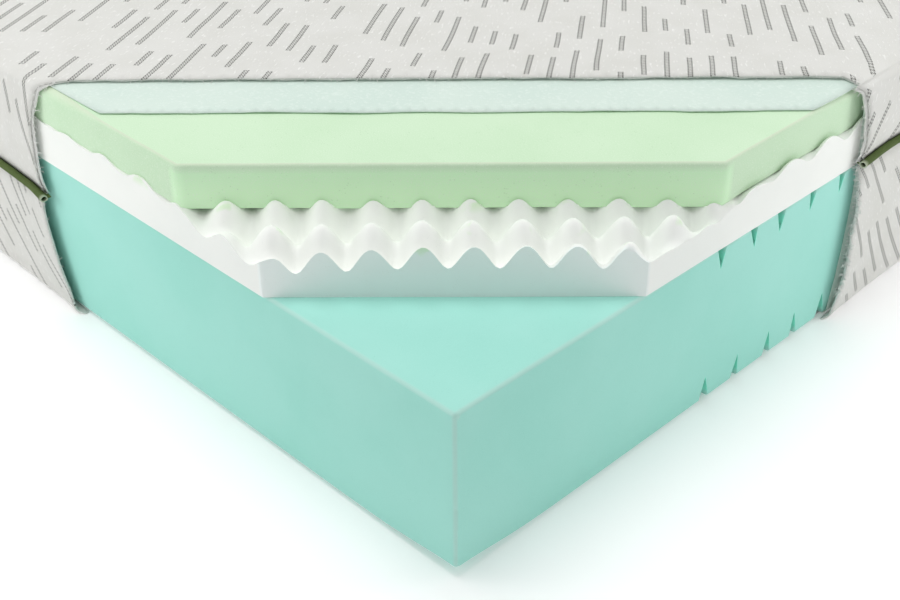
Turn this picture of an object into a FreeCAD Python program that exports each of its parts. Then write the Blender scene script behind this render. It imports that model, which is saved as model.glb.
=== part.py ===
# A queen-size memory foam mattress with one corner opened up: a slotted foam base, a convoluted
# layer and a memory foam layer stepped back from the foot-right corner, a fire-barrier sock, and
# a knitted cover of a top cap, border and bottom panels, with piping round the seam and a zip
# across the head end.
# Millimetres. +X is the right-hand long side, -Y the foot end, +Z up; the origin is the centre
# of the underside.
import math
import os

import FreeCAD, Part
import Sketcher
from FreeCAD import Placement, Rotation, Vector

doc = FreeCAD.newDocument("Mattress")
sheet = doc.addObject("Spreadsheet::Sheet", "Dimensions")
sub_parts = []


def dimension(alias, value):
    """Adds one driving dimension to the spreadsheet."""
    dimension.row += 1
    sheet.set(f"A{dimension.row}", alias)
    sheet.set(f"B{dimension.row}", str(value))
    sheet.setAlias(f"B{dimension.row}", alias)


dimension.row = 0

# Foam core
dimension("core_width", 1514)
dimension("core_length", 2022)
dimension("base_thickness", 198)
dimension("crate_thickness", 49)
dimension("comfort_thickness", 49)
dimension("corner_radius", 16)
dimension("opened_corner_radius", 4)
dimension("top_edge_radius", 12)
dimension("bottom_edge_radius", 3)
# How far along each side of the core the layers are cut back from the opened corner
dimension("crate_cut", 264)
dimension("comfort_cut", 396)
dimension("sock_top_cut", 556)
dimension("sock_side_cut", 660)
dimension("cover_cut", 655)
dimension("bottom_cut", 610)
# Relief slots across the width of the base, evenly spaced between the first and the last
dimension("slot_first", 392)
dimension("slot_count", 23)
dimension("slot_mouth_top", 11)
dimension("slot_depth_top", 27)
dimension("slot_mouth_bottom", 15)
dimension("slot_depth_bottom", 35)
# Sock and cover
dimension("layer_gap", 0.5)
dimension("sock_thickness", 1)
dimension("wadding_thickness", 1.4)
dimension("knit_thickness", 1.6)
dimension("bottom_thickness", 2)
dimension("bottom_seam_inset", 12)
# Piping in the seam between the top cap and the border
dimension("piping_height", 172)
dimension("piping_diameter", 9)
dimension("piping_wall", 1.2)
dimension("piping_standoff", 3)
dimension("piping_flange", 0.8)
dimension("piping_cord_clearance", 0.1)
dimension("piping_cord_setback", 9)
# Zip across the head end
dimension("zip_length", 1300)
dimension("zip_height", 30)
dimension("zip_tape_width", 28)
dimension("tape_thickness", 0.8)
dimension("tape_recess", 0.4)
dimension("teeth_spacing", 1.6)
dimension("teeth_width", 2.2)
dimension("teeth_depth", 2.4)
dimension("stop_length", 6)
dimension("slider_length", 11)
dimension("slider_plate", 1.2)
dimension("slider_wall", 1)
dimension("slider_clearance", 0.4)
dimension("post_length", 3)
dimension("crown_length", 8)
dimension("crown_width", 1.8)
dimension("crown_bar", 1)
dimension("crown_opening", 2.2)
dimension("pull_thickness", 1.4)
dimension("pull_arm_width", 1.8)
dimension("pull_reach", 8)
dimension("pull_length", 30)
dimension("pull_end_radius", 2)
# How far the blocks that divide the pieces run past them
dimension("cutter_margin", 40)
doc.recompute()


def d(alias):
    """The expression that reads one dimension."""
    return f"Dimensions.{alias}"


def value(alias):
    return float(sheet.get(alias))


# Offsets from the core's sides, heights, and half sizes, as expressions
SOCK_INNER = d("layer_gap")
SOCK_OUTER = f"({SOCK_INNER} + {d('sock_thickness')})"
WADDING_INNER = f"({SOCK_OUTER} + {d('layer_gap')})"
WADDING_OUTER = f"({WADDING_INNER} + {d('wadding_thickness')})"
COVER_OUTER = f"({WADDING_OUTER} + {d('knit_thickness')})"
CORE_BOTTOM = f"({d('bottom_thickness')} + {WADDING_INNER})"
BASE_TOP = f"({CORE_BOTTOM} + {d('base_thickness')})"
CRATE_TOP = f"({BASE_TOP} + {d('crate_thickness')})"
CORE_TOP = f"({CRATE_TOP} + {d('comfort_thickness')})"
HALF_WIDTH = f"({d('core_width')} / 2 + {COVER_OUTER})"
HALF_LENGTH = f"({d('core_length')} / 2 + {COVER_OUTER})"
MARGIN = d("cutter_margin")
BELOW = f"-({MARGIN})"
ABOVE = f"({CORE_TOP} + {MARGIN})"
SEAM_TOP = f"({d('piping_height')} + {d('piping_flange')} / 2)"
SEAM_BOTTOM = f"({d('piping_height')} - {d('piping_flange')} / 2)"
ZIP_LOW = f"({d('zip_height')} - {d('zip_tape_width')} / 2)"
ZIP_HIGH = f"({d('zip_height')} + {d('zip_tape_width')} / 2)"


# ---- Helpers ----


def keep(obj, label):
    """Gives a finished object its sub-part name and lists it for export."""
    obj.Label = label
    sub_parts.append(obj)
    return obj


def bind(obj, **expressions):
    """Binds properties of an object to expressions; at_x, at_y and at_z bind its place."""
    for name, expression in expressions.items():
        target = f"Placement.Base.{name[3:]}" if name.startswith("at_") else name
        obj.setExpression(target, str(expression))
    return obj


def origin_plane(body, role):
    return next(f for f in body.Origin.OriginFeatures if f.Role == role)


def block(name, x_span, y_span, z_span):
    """A box between pairs of expressions."""
    sizes = [f"{high} - ({low})" for low, high in (x_span, y_span, z_span)]
    obj = doc.addObject("Part::Box", name)
    bind(obj, Length=sizes[0], Width=sizes[1], Height=sizes[2])
    return bind(obj, at_x=x_span[0], at_y=y_span[0], at_z=z_span[0])


def about(centre, width):
    """The span of a given width about a centre."""
    return f"({centre} - {width} / 2)", f"({centre} + {width} / 2)"


def round_bar(name, radius, length, x, y, z):
    """An upright round bar."""
    obj = doc.addObject("Part::Cylinder", name)
    return bind(obj, Radius=radius, Height=length, at_x=x, at_y=y, at_z=z)


def cut(name, base, *tools):
    for i, tool in enumerate(tools):
        obj = doc.addObject("Part::Cut", name if len(tools) == 1 else f"{name}_{i + 1}")
        obj.Base, obj.Tool = base, tool
        base = obj
    return base


def common(name, base, tool):
    obj = doc.addObject("Part::Common", name)
    obj.Base, obj.Tool = base, tool
    return obj


def fuse(name, *shapes):
    obj = doc.addObject("Part::MultiFuse", name)
    obj.Shapes = shapes
    obj.Refine = True
    return obj


def rectangle(sketch, width, length):
    """A rectangle centred on the sketch's origin, sized by two expressions."""
    corners = [Vector(-50, -40, 0), Vector(50, -40, 0), Vector(50, 40, 0), Vector(-50, 40, 0)]
    for i in range(4):
        sketch.addGeometry(Part.LineSegment(corners[i], corners[(i + 1) % 4]), False)
    for i in range(4):
        sketch.addConstraint(Sketcher.Constraint("Coincident", i, 2, (i + 1) % 4, 1))
    for i, way in enumerate(("Horizontal", "Vertical", "Horizontal", "Vertical")):
        sketch.addConstraint(Sketcher.Constraint(way, i))
    sketch.addConstraint(Sketcher.Constraint("Symmetric", 0, 1, 1, 2, -1, 1))
    for name, way, line, size in (
        ("width", "DistanceX", 0, width),
        ("length", "DistanceY", 1, length),
    ):
        number = sketch.addConstraint(Sketcher.Constraint(way, line, 1, line, 2, 50.0))
        sketch.renameConstraint(number, name)
        sketch.setExpression(f"Constraints.{name}", size)


def upright_edges(shape, opened):
    """Names of a shape's vertical edges, either at the opened corner or at the other corners."""
    found = []
    for i, edge in enumerate(shape.Edges, 1):
        a, b = edge.Vertexes[0].Point, edge.Vertexes[-1].Point
        upright = abs(a.x - b.x) < 1e-6 and abs(a.y - b.y) < 1e-6
        if upright and (a.x > 0 and a.y < 0) == opened:
            found.append(f"Edge{i}")
    return found


def level_edges(shape, z):
    """Names of a shape's edges that lie at one height."""
    return [
        f"Edge{i}"
        for i, edge in enumerate(shape.Edges, 1)
        if all(abs(v.Z - z) < 1e-6 for v in edge.Vertexes)
    ]


def fillet(body, base, edges, radius):
    feature = body.newObject("PartDesign::Fillet", f"{base.Name}_rounded")
    feature.Base = (base, edges)
    feature.setExpression("Radius", radius)
    doc.recompute()
    return feature


def slab(name, offset, low, high, opened_corner=None, top=None, bottom=None):
    """A block that stands proud of the core's sides by offset, with rounded corners and, where a
    radius is given, a rounded opened corner of its own and rounded top and bottom edges."""
    body = doc.addObject("PartDesign::Body", name)
    sketch = body.newObject("Sketcher::SketchObject", f"{name}_outline")
    sketch.AttachmentSupport = [(origin_plane(body, "XY_Plane"), "")]
    sketch.MapMode = "FlatFace"
    rectangle(sketch, f"{d('core_width')} + 2 * {offset}", f"{d('core_length')} + 2 * {offset}")
    last = body.newObject("PartDesign::Pad", f"{name}_pad")
    last.Profile = sketch
    last.setExpression("Length", f"{high} - ({low})")
    doc.recompute()
    corner = f"{d('corner_radius')} + {offset}"
    last = fillet(body, last, upright_edges(last.Shape, False), corner)
    last = fillet(body, last, upright_edges(last.Shape, True), opened_corner or corner)
    if top:
        last = fillet(body, last, level_edges(last.Shape, last.Shape.BoundBox.ZMax), top)
    if bottom:
        last = fillet(body, last, level_edges(last.Shape, 0), bottom)
    return bind(body, at_z=low)


def corner_block(name, leg, low, high):
    """Takes away the opened corner up to the vertical plane that meets both sides of the core
    at leg from the corner."""
    obj = doc.addObject("Part::Box", name)
    obj.Placement = Placement(Vector(), Rotation(Vector(0, 0, 1), 225))
    bind(obj, Length=f"({leg} + 2 * {MARGIN}) * sqrt(2)", Width=f"{leg} + 2 * {MARGIN}")
    bind(obj, Height=f"{high} - ({low})", at_x=f"{d('core_width')} / 2 + {MARGIN}")
    return bind(obj, at_y=f"{leg} + {MARGIN} - {d('core_length')} / 2", at_z=low)


# ---- Foam layers ----


def slot_profile(sketch, index, mouth, depth, z, way):
    """One V slot seen from the side: its mouth on the surface at z, its tip depth away."""
    start = f"{d('slot_first')} - {d('core_length')} / 2 - {mouth} / 2"
    first = sketch.GeometryCount
    points = [Vector(-300, 100 * way, 0), Vector(-290, 100 * way, 0), Vector(-295, 70 * way, 0)]
    for i in range(3):
        sketch.addGeometry(Part.LineSegment(points[i], points[(i + 1) % 3]), False)
    for i in range(3):
        following = first + (i + 1) % 3
        sketch.addConstraint(Sketcher.Constraint("Coincident", first + i, 2, following, 1))
    sketch.addConstraint(Sketcher.Constraint("Horizontal", first))
    sizes = (
        ("start", "DistanceX", (-1, 1, first, 1), start),
        ("mouth", "DistanceX", (first, 1, first, 2), mouth),
        ("tip", "DistanceX", (first, 1, first + 1, 2), f"{mouth} / 2"),
        ("level", "DistanceY", (-1, 1, first, 1), z),
        ("depth", "DistanceY", (-1, 1, first + 1, 2), f"{z} - {way} * {depth}"),
    )
    for label, kind, where, expression in sizes:
        span = sketch.getPoint(*where[2:]) - sketch.getPoint(*where[:2])
        size = span.x if kind == "DistanceX" else span.y
        number = sketch.addConstraint(Sketcher.Constraint(kind, *where, size))
        sketch.renameConstraint(number, f"{label}_{index}")
        sketch.setExpression(f"Constraints.{label}_{index}", expression)


def base_core():
    """The base slab, with rows of V slots across its width in its top and its underside."""
    rounded = d("opened_corner_radius")
    body = slab("base", "0", CORE_BOTTOM, BASE_TOP, rounded, bottom=d("bottom_edge_radius"))
    sketch = body.newObject("Sketcher::SketchObject", "slot_profiles")
    sketch.AttachmentSupport = [(origin_plane(body, "YZ_Plane"), "")]
    sketch.MapMode = "FlatFace"
    levels = (("top", d("base_thickness"), 1), ("bottom", "0", -1))
    for index, (face, z, way) in enumerate(levels):
        slot_profile(sketch, index, d(f"slot_mouth_{face}"), d(f"slot_depth_{face}"), z, way)
    uncut = body.Tip.Shape.Volume
    pocket = body.newObject("PartDesign::Pocket", "slots")
    pocket.Profile = sketch
    pocket.Type = "ThroughAll"
    pocket.Midplane = True
    doc.recompute()
    rows = body.newObject("PartDesign::LinearPattern", "slot_rows")
    rows.Originals = [pocket]
    rows.Direction = (sketch, ["H_Axis"])
    rows.setExpression("Length", f"{d('core_length')} - 2 * {d('slot_first')}")
    rows.setExpression("Occurrences", d("slot_count"))
    body.Tip = rows
    doc.recompute()
    section = sum(value(f"slot_mouth_{f}") * value(f"slot_depth_{f}") / 2 for f in ("top", "bottom"))
    expected = section * value("core_width") * value("slot_count")
    if abs(uncut - rows.Shape.Volume - expected) > 0.01 * expected:
        raise RuntimeError("the slots don't take away what they should")
    keep(body, "base_core")


def stepped_layer(label, leg, low, high, top=None):
    """One foam layer above the base, cut back from the opened corner."""
    body = slab(f"{label}_slab", "0", low, high, top=top)
    away = corner_block(f"{label}_corner", leg, f"{low} - {MARGIN}", f"{high} + {MARGIN}")
    keep(cut(label, body, away), label)


# ---- Sock and cover ----


def bag(name, inner, outer, inner_low, outer_low):
    """A closed bag round the core, between two offsets from its sides and top."""
    skins = []
    for side, offset, low in (("outer", outer, outer_low), ("inner", inner, inner_low)):
        top = f"{d('top_edge_radius')} + {offset}"
        bottom = f"{d('bottom_edge_radius')} + {offset}"
        height = f"({CORE_TOP} + {offset})"
        skins.append(slab(f"{name}_{side}", offset, low, height, top=top, bottom=bottom))
    return cut(name, *skins)


def fire_barrier_sock():
    inner_low = f"({CORE_BOTTOM} - {SOCK_INNER})"
    outer_low = f"({CORE_BOTTOM} - {SOCK_OUTER})"
    whole = bag("sock_bag", SOCK_INNER, SOCK_OUTER, inner_low, outer_low)
    sides = corner_block("sock_sides", d("sock_side_cut"), BELOW, CORE_TOP)
    top = corner_block("sock_top", d("sock_top_cut"), CORE_TOP, ABOVE)
    keep(cut("sock_opened", whole, sides, top), "fire_barrier_sock")


def cover_bags():
    """The knit and the wadding behind it, as whole bags, and both together where they are one."""
    inside_low = d("bottom_thickness")
    between_low = f"({inside_low} - {d('wadding_thickness')})"
    layers = (
        ("knit_bag", WADDING_OUTER, COVER_OUTER, between_low, "0"),
        ("wadding_bag", WADDING_INNER, WADDING_OUTER, inside_low, between_low),
        ("cover_bag", WADDING_INNER, COVER_OUTER, inside_low, "0"),
    )
    away = corner_block("cover_corner", d("cover_cut"), BELOW, ABOVE)
    bags = {}
    for name, inner, outer, inner_low, outer_low in layers:
        whole = bag(name, inner, outer, inner_low, outer_low)
        bags[name] = cut(f"{name}_opened", whole, away)
    return whole, bags


def top_cap(bags, piping):
    everywhere = (f"-({HALF_WIDTH})", HALF_WIDTH), (f"-({HALF_LENGTH})", HALF_LENGTH)
    above = block("above_seam", *everywhere, (SEAM_TOP, ABOVE))
    for label, name in (("cover_top_knit", "knit_bag"), ("cover_top_wadding", "wadding_bag")):
        cap = common(f"{label}_cap", bags[name], above)
        keep(cut(f"{label}_clear", cap, piping), label)


def bottom_panel(whole):
    """The panel under the mattress, inside the seam that joins it to the border."""
    spans = [
        (f"-({half} - {d('bottom_seam_inset')})", f"({half} - {d('bottom_seam_inset')})")
        for half in (HALF_WIDTH, HALF_LENGTH)
    ]
    inside = block("inside_bottom_seam", *spans, (BELOW, CORE_BOTTOM))
    away = corner_block("bottom_corner", d("bottom_cut"), BELOW, CORE_BOTTOM)
    keep(cut("bottom_opened", common("bottom_sheet", whole, inside), away), "bottom_panel")


def side_wedge(name, half_run, half_reach, turn):
    """The outer strip of one side, mitred at both corners, from the floor to the seam."""
    inset = d("bottom_seam_inset")
    obj = doc.addObject("Part::Wedge", name)
    obj.Placement = Placement(Vector(), Rotation(Vector(0, 0, 1), turn))
    bind(obj, Ymin=f"{half_reach} - {inset}", Ymax=f"{half_reach} + {MARGIN}")
    bind(obj, Zmin=BELOW, Zmax=SEAM_BOTTOM, Z2min=BELOW, Z2max=SEAM_BOTTOM)
    bind(obj, Xmin=f"-({half_run} - {inset})", Xmax=f"{half_run} - {inset}")
    return bind(obj, X2min=f"-({half_run} + {MARGIN})", X2max=f"{half_run} + {MARGIN}")


def border_panels(bags, piping):
    """The four border panels; the one at the head end is in pieces round the zip."""
    sides = (
        ("border_foot", HALF_WIDTH, HALF_LENGTH, 180),
        ("border_right", HALF_LENGTH, HALF_WIDTH, -90),
        ("border_left", HALF_LENGTH, HALF_WIDTH, 90),
        ("border_head", HALF_WIDTH, HALF_LENGTH, 0),
    )
    for label, half_run, half_reach, turn in sides:
        wedge = side_wedge(f"{label}_wedge", half_run, half_reach, turn)
        panel = cut(f"{label}_panel", common(f"{label}_side", bags["cover_bag"], wedge), piping)
        if label != "border_head":
            keep(panel, label)
    outer = f"({HALF_WIDTH} + {MARGIN})"
    depth = ("0", f"{HALF_LENGTH} + {MARGIN}")
    zip_end = f"({d('zip_length')} / 2)"
    strips = (
        ("border_head_upper", (f"-{outer}", outer), (ZIP_HIGH, SEAM_BOTTOM)),
        ("border_head_lower", (f"-{outer}", outer), (BELOW, ZIP_LOW)),
        ("zip_end_left", (f"-{outer}", f"-{zip_end}"), (ZIP_LOW, ZIP_HIGH)),
        ("zip_end_right", (zip_end, outer), (ZIP_LOW, ZIP_HIGH)),
    )
    for label, across, up in strips:
        strip = block(f"{label}_block", across, depth, up)
        keep(common(f"{label}_strip", panel, strip), label)


# ---- Piping in the seam ----


def round_run(name, radius, setback):
    """A round cord along the seam, from the cut on the right side by the head end to the cut on
    the foot end, its two ends set back from the cuts."""
    offset = sum(value(a) for a in ("sock_thickness", "wadding_thickness", "knit_thickness"))
    offset += 2 * value("layer_gap") + value("piping_standoff")
    x, y = value("core_width") / 2 + offset, value("core_length") / 2 + offset
    r, z = value("corner_radius") + offset, value("piping_height")
    start = value("cover_cut") + 2 * offset + setback
    bend = r * (1 - 0.5**0.5)
    edges = [
        Part.LineSegment(Vector(x, start - y, z), Vector(x, y - r, z)),
        Part.Arc(Vector(x, y - r, z), Vector(x - bend, y - bend, z), Vector(x - r, y, z)),
        Part.LineSegment(Vector(x - r, y, z), Vector(r - x, y, z)),
        Part.Arc(Vector(r - x, y, z), Vector(bend - x, y - bend, z), Vector(-x, y - r, z)),
        Part.LineSegment(Vector(-x, y - r, z), Vector(-x, r - y, z)),
        Part.Arc(Vector(-x, r - y, z), Vector(bend - x, bend - y, z), Vector(r - x, -y, z)),
        Part.LineSegment(Vector(r - x, -y, z), Vector(x - start, -y, z)),
    ]
    path = doc.addObject("Part::Feature", f"{name}_path")
    path.Shape = Part.Wire([edge.toShape() for edge in edges])
    ring = doc.addObject("Part::Circle", f"{name}_ring")
    ring.Placement = Placement(Vector(x, start - y, z), Rotation(Vector(1, 0, 0), 90))
    ring.setExpression("Radius", radius)
    sweep = doc.addObject("Part::Sweep", name)
    sweep.Sections = [ring]
    sweep.Spine = (path, [f"Edge{i + 1}" for i in range(len(edges))])
    sweep.Solid = True
    sweep.Frenet = True
    doc.recompute()
    expected = path.Shape.Length * sweep.Sections[0].Shape.Length ** 2 / (4 * math.pi)
    if abs(sweep.Shape.Volume - expected) > 0.01 * expected:
        raise RuntimeError(f"{name} doesn't have the volume of its section along its path")
    return sweep


PIPING_RADIUS = f"({d('piping_diameter')} / 2)"
PIPING_BORE = f"({PIPING_RADIUS} - {d('piping_wall')})"


def piping_sleeve(bags, tube):
    """The knitted tube, with the flange that is sewn between the top cap and the border."""
    everywhere = (f"-({HALF_WIDTH})", HALF_WIDTH), (f"-({HALF_LENGTH})", HALF_LENGTH)
    seam = block("seam", *everywhere, (SEAM_BOTTOM, SEAM_TOP))
    flange = common("piping_flange", bags["cover_bag"], seam)
    past_the_ends = -1
    bore = round_run("piping_bore", PIPING_BORE, past_the_ends)
    keep(cut("piping_tube", fuse("piping_and_flange", tube, flange), bore), "piping_sleeve")


def piping_cord():
    radius = f"{PIPING_BORE} - {d('piping_cord_clearance')}"
    keep(round_run("filler_cord", radius, value("piping_cord_setback")), "piping_cord")


# ---- Zip ----

TAPE_FACE = f"({HALF_LENGTH} - {d('tape_recess')})"
TAPE_BACK = f"({TAPE_FACE} - {d('tape_thickness')})"
TEETH_FACE = f"({TAPE_FACE} + {d('teeth_depth')})"
TEETH_REACH = f"({d('teeth_spacing')} / 2 + {d('teeth_width')})"
ZIP_END = f"({d('zip_length')} / 2)"
TEETH_END = f"({ZIP_END} - {d('stop_length')})"
SLIDER_FACE = f"({TEETH_FACE} + {d('slider_clearance')} + {d('slider_plate')})"
SLIDER_BACK = f"({TAPE_BACK} - {d('slider_clearance')} - {d('slider_plate')})"
SLIDER_REACH = f"({TEETH_REACH} + {d('slider_clearance')} + {d('slider_wall')})"
SLIDER_X = f"({TEETH_END} - {d('slider_clearance')} - {d('slider_length')} / 2)"


def zip_chain():
    """Two tapes in the head border, the teeth along their edges, and a stop at each end."""
    z = d("zip_height")
    gap = f"{d('teeth_spacing')} / 2"
    for side, sign in (("upper", "+"), ("lower", "-")):
        edges = [f"{z} {sign} {gap}", f"{z} {sign} {TEETH_REACH}"]
        tape_edge = ZIP_HIGH if side == "upper" else ZIP_LOW
        teeth = tuple(edges) if side == "upper" else tuple(reversed(edges))
        tape = (edges[0], tape_edge) if side == "upper" else (tape_edge, edges[0])
        across = (f"-{ZIP_END}", ZIP_END)
        keep(block(f"tape_{side}", across, (TAPE_BACK, TAPE_FACE), tape), f"zip_tape_{side}")
        across = (f"-{TEETH_END}", TEETH_END)
        keep(block(f"teeth_{side}", across, (TAPE_FACE, TEETH_FACE), teeth), f"zip_teeth_{side}")
    up = about(z, f"(2 * {TEETH_REACH})")
    for side, across in (
        ("open", (f"-{ZIP_END}", f"-{TEETH_END}")),
        ("closed", (TEETH_END, ZIP_END)),
    ):
        keep(block(f"stop_{side}", across, (TAPE_FACE, TEETH_FACE), up), f"zip_stop_{side}")


def zip_slider():
    """Two plates joined by a post that runs between the tapes, with walls beside the teeth and a
    crown for the pull."""
    z = d("zip_height")
    along = about(SLIDER_X, d("slider_length"))
    up = about(z, f"(2 * {SLIDER_REACH})")
    plate_back = f"({SLIDER_FACE} - {d('slider_plate')})"
    inner_front = f"({SLIDER_BACK} + {d('slider_plate')})"
    wall_foot = f"({TAPE_FACE} + {d('slider_clearance')})"
    post_width = f"({d('teeth_spacing')} - 2 * {d('slider_clearance')})"
    crown_top = f"({SLIDER_FACE} + {d('crown_opening')} + {d('crown_bar')})"
    opening = f"({d('crown_length')} - 2 * {d('crown_bar')})"
    pieces = [
        block("slider_front", along, (plate_back, SLIDER_FACE), up),
        block("slider_rear", along, (SLIDER_BACK, inner_front), up),
        block(
            "slider_post",
            (f"{along[1]} - {d('post_length')}", along[1]),
            (SLIDER_BACK, SLIDER_FACE),
            about(z, post_width),
        ),
    ]
    for side, sign in (("upper", 1), ("lower", -1)):
        edges = [f"{z} + {sign} * ({SLIDER_REACH} - {d('slider_wall')})"]
        edges.append(f"{z} + {sign} * {SLIDER_REACH}")
        span = tuple(edges[::sign])
        pieces.append(block(f"slider_wall_{side}", along, (wall_foot, SLIDER_FACE), span))
    crown = block(
        "crown_block",
        about(SLIDER_X, d("crown_length")),
        (SLIDER_FACE, crown_top),
        about(z, d("crown_width")),
    )
    hole = block(
        "crown_hole",
        about(SLIDER_X, opening),
        (SLIDER_FACE, f"{SLIDER_FACE} + {d('crown_opening')}"),
        about(z, f"(2 * {d('crown_width')})"),
    )
    pieces.append(cut("crown", crown, hole))
    keep(fuse("slider", *pieces), "zip_slider")


def zip_pull():
    """The pull lies along the teeth: a bar through the crown, two arms and a rounded tab."""
    z = d("zip_height")
    axis_y = f"({SLIDER_FACE} + {d('crown_opening')} / 2)"
    arm_gap = f"({d('crown_width')} + 2 * {d('slider_clearance')})"
    width = f"({arm_gap} + 2 * {d('pull_arm_width')})"
    thick = about(axis_y, d("pull_thickness"))
    bar_low = f"{z} - {width} / 2"
    bar = round_bar("pull_bar", f"{d('pull_thickness')} / 2", width, SLIDER_X, axis_y, bar_low)
    arms = (f"({SLIDER_X} - {d('pull_reach')})", SLIDER_X)
    frame = cut(
        "pull_arms",
        block("pull_fork", arms, thick, about(z, width)),
        block("pull_fork_gap", arms, (f"{thick[0]} - {MARGIN}", f"{thick[1]} + {MARGIN}"), about(z, arm_gap)),
    )
    tab = block("pull_tab", (f"({SLIDER_X} - {d('pull_length')})", arms[0]), thick, about(z, width))
    doc.recompute()
    low_x = tab.Shape.BoundBox.XMin
    rounded = doc.addObject("Part::Fillet", "pull_tab_rounded")
    rounded.Base = tab
    rounded.Edges = [
        (i, value("pull_end_radius"), value("pull_end_radius"))
        for i, edge in enumerate(tab.Shape.Edges, 1)
        if all(abs(v.X - low_x) < 1e-6 for v in edge.Vertexes)
        and abs(edge.Vertexes[0].Y - edge.Vertexes[-1].Y) > 1e-6
    ]
    keep(fuse("pull", bar, frame, rounded), "zip_pull")


# ---- Assembly ----

base_core()
stepped_layer("convoluted_layer", d("crate_cut"), BASE_TOP, CRATE_TOP)
stepped_layer("memory_foam_layer", d("comfort_cut"), CRATE_TOP, CORE_TOP, d("top_edge_radius"))
fire_barrier_sock()
whole_cover, opened_bags = cover_bags()
piping_outline = round_run("piping_outline", PIPING_RADIUS, 0)
top_cap(opened_bags, piping_outline)
bottom_panel(whole_cover)
border_panels(opened_bags, piping_outline)
piping_sleeve(opened_bags, piping_outline)
piping_cord()
zip_chain()
zip_slider()
zip_pull()
doc.recompute()

for obj in doc.Objects:
    if "Invalid" in obj.State or "Error" in obj.State:
        raise RuntimeError(f"{obj.Label} failed: {obj.State}")
for obj in sub_parts:
    if obj.Shape.isNull() or not obj.Shape.isValid() or obj.Shape.Volume <= 0:
        raise RuntimeError(f"{obj.Label} has no valid solid")
os.makedirs("parts", exist_ok=True)
for obj in sub_parts:
    obj.Shape.exportStep(f"parts/{obj.Label}.step")
    print(f"{obj.Label}: {len(obj.Shape.Solids)} solid, {obj.Shape.Volume / 1000:.1f} cm3")
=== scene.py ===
import math

import bmesh
import bpy
import numpy as np
from mathutils import Matrix, Vector, noise


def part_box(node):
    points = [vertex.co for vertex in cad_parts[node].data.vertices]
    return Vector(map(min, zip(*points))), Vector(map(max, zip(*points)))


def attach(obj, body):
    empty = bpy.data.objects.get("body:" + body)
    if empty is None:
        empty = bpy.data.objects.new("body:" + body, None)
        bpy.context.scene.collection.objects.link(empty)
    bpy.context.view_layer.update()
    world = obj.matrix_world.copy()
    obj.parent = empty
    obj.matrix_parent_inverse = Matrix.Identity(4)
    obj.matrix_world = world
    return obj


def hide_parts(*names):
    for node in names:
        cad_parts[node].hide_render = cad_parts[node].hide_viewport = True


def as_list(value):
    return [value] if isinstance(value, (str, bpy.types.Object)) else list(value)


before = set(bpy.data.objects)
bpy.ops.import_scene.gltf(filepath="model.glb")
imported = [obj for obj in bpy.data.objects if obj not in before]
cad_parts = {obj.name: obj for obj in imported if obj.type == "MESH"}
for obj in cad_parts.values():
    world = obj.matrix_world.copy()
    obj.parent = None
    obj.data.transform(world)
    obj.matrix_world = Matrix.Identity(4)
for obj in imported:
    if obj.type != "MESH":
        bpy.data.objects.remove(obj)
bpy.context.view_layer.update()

coreLow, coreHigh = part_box("base_core")
coverLow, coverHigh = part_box("cover_top_knit")
halfWidth, halfLength = coverHigh.x, coverHigh.y
nearCorner = Vector((coreHigh.x, coreLow.y, coreLow.z))  # the foam corner that is opened up
coreMiddle = (coreLow + coreHigh) / 2


# small tools for nodes
class Wire:
    # An output socket: arithmetic on it adds Math nodes to its tree.
    def __init__(self, tree, socket):
        self.tree = tree
        self.socket = socket

    def math(self, operation, *values):
        node = self.tree.nodes.new("ShaderNodeMath")
        node.operation = operation
        for socket, value in zip(node.inputs, values):
            feed(self.tree, socket, value)
        return Wire(self.tree, node.outputs[0])

    def __add__(self, other):
        return self.math("ADD", self, other)

    def __radd__(self, other):
        return self.math("ADD", other, self)

    def __sub__(self, other):
        return self.math("SUBTRACT", self, other)

    def __rsub__(self, other):
        return self.math("SUBTRACT", other, self)

    def __mul__(self, other):
        return self.math("MULTIPLY", self, other)

    def __rmul__(self, other):
        return self.math("MULTIPLY", other, self)

    def __truediv__(self, other):
        return self.math("DIVIDE", self, other)

    def __rtruediv__(self, other):
        return self.math("DIVIDE", other, self)

    def __pow__(self, other):
        return self.math("POWER", self, other)

    def __gt__(self, other):
        return self.math("GREATER_THAN", self, other)

    def __lt__(self, other):
        return self.math("LESS_THAN", self, other)

    def cos(self):
        return self.math("COSINE", self)

    def sin(self):
        return self.math("SINE", self)

    def abs(self):
        return self.math("ABSOLUTE", self)

    def floor(self):
        return self.math("FLOOR", self)

    def fract(self):
        return self.math("FRACT", self)

    def least(self, other):
        return self.math("MINIMUM", self, other)

    def most(self, other):
        return self.math("MAXIMUM", self, other)

    def rise(self, low, high):
        # 0 below low, 1 above high, smooth between
        node = self.tree.nodes.new("ShaderNodeMapRange")
        node.interpolation_type = "SMOOTHSTEP"
        for name, value in (("Value", self), ("From Min", low), ("From Max", high)):
            feed(self.tree, node.inputs[name], value)
        return Wire(self.tree, node.outputs[0])


def feed(tree, socket, value):
    if isinstance(value, Wire):
        tree.links.new(value.socket, socket)
    else:
        socket.default_value = value


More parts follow.
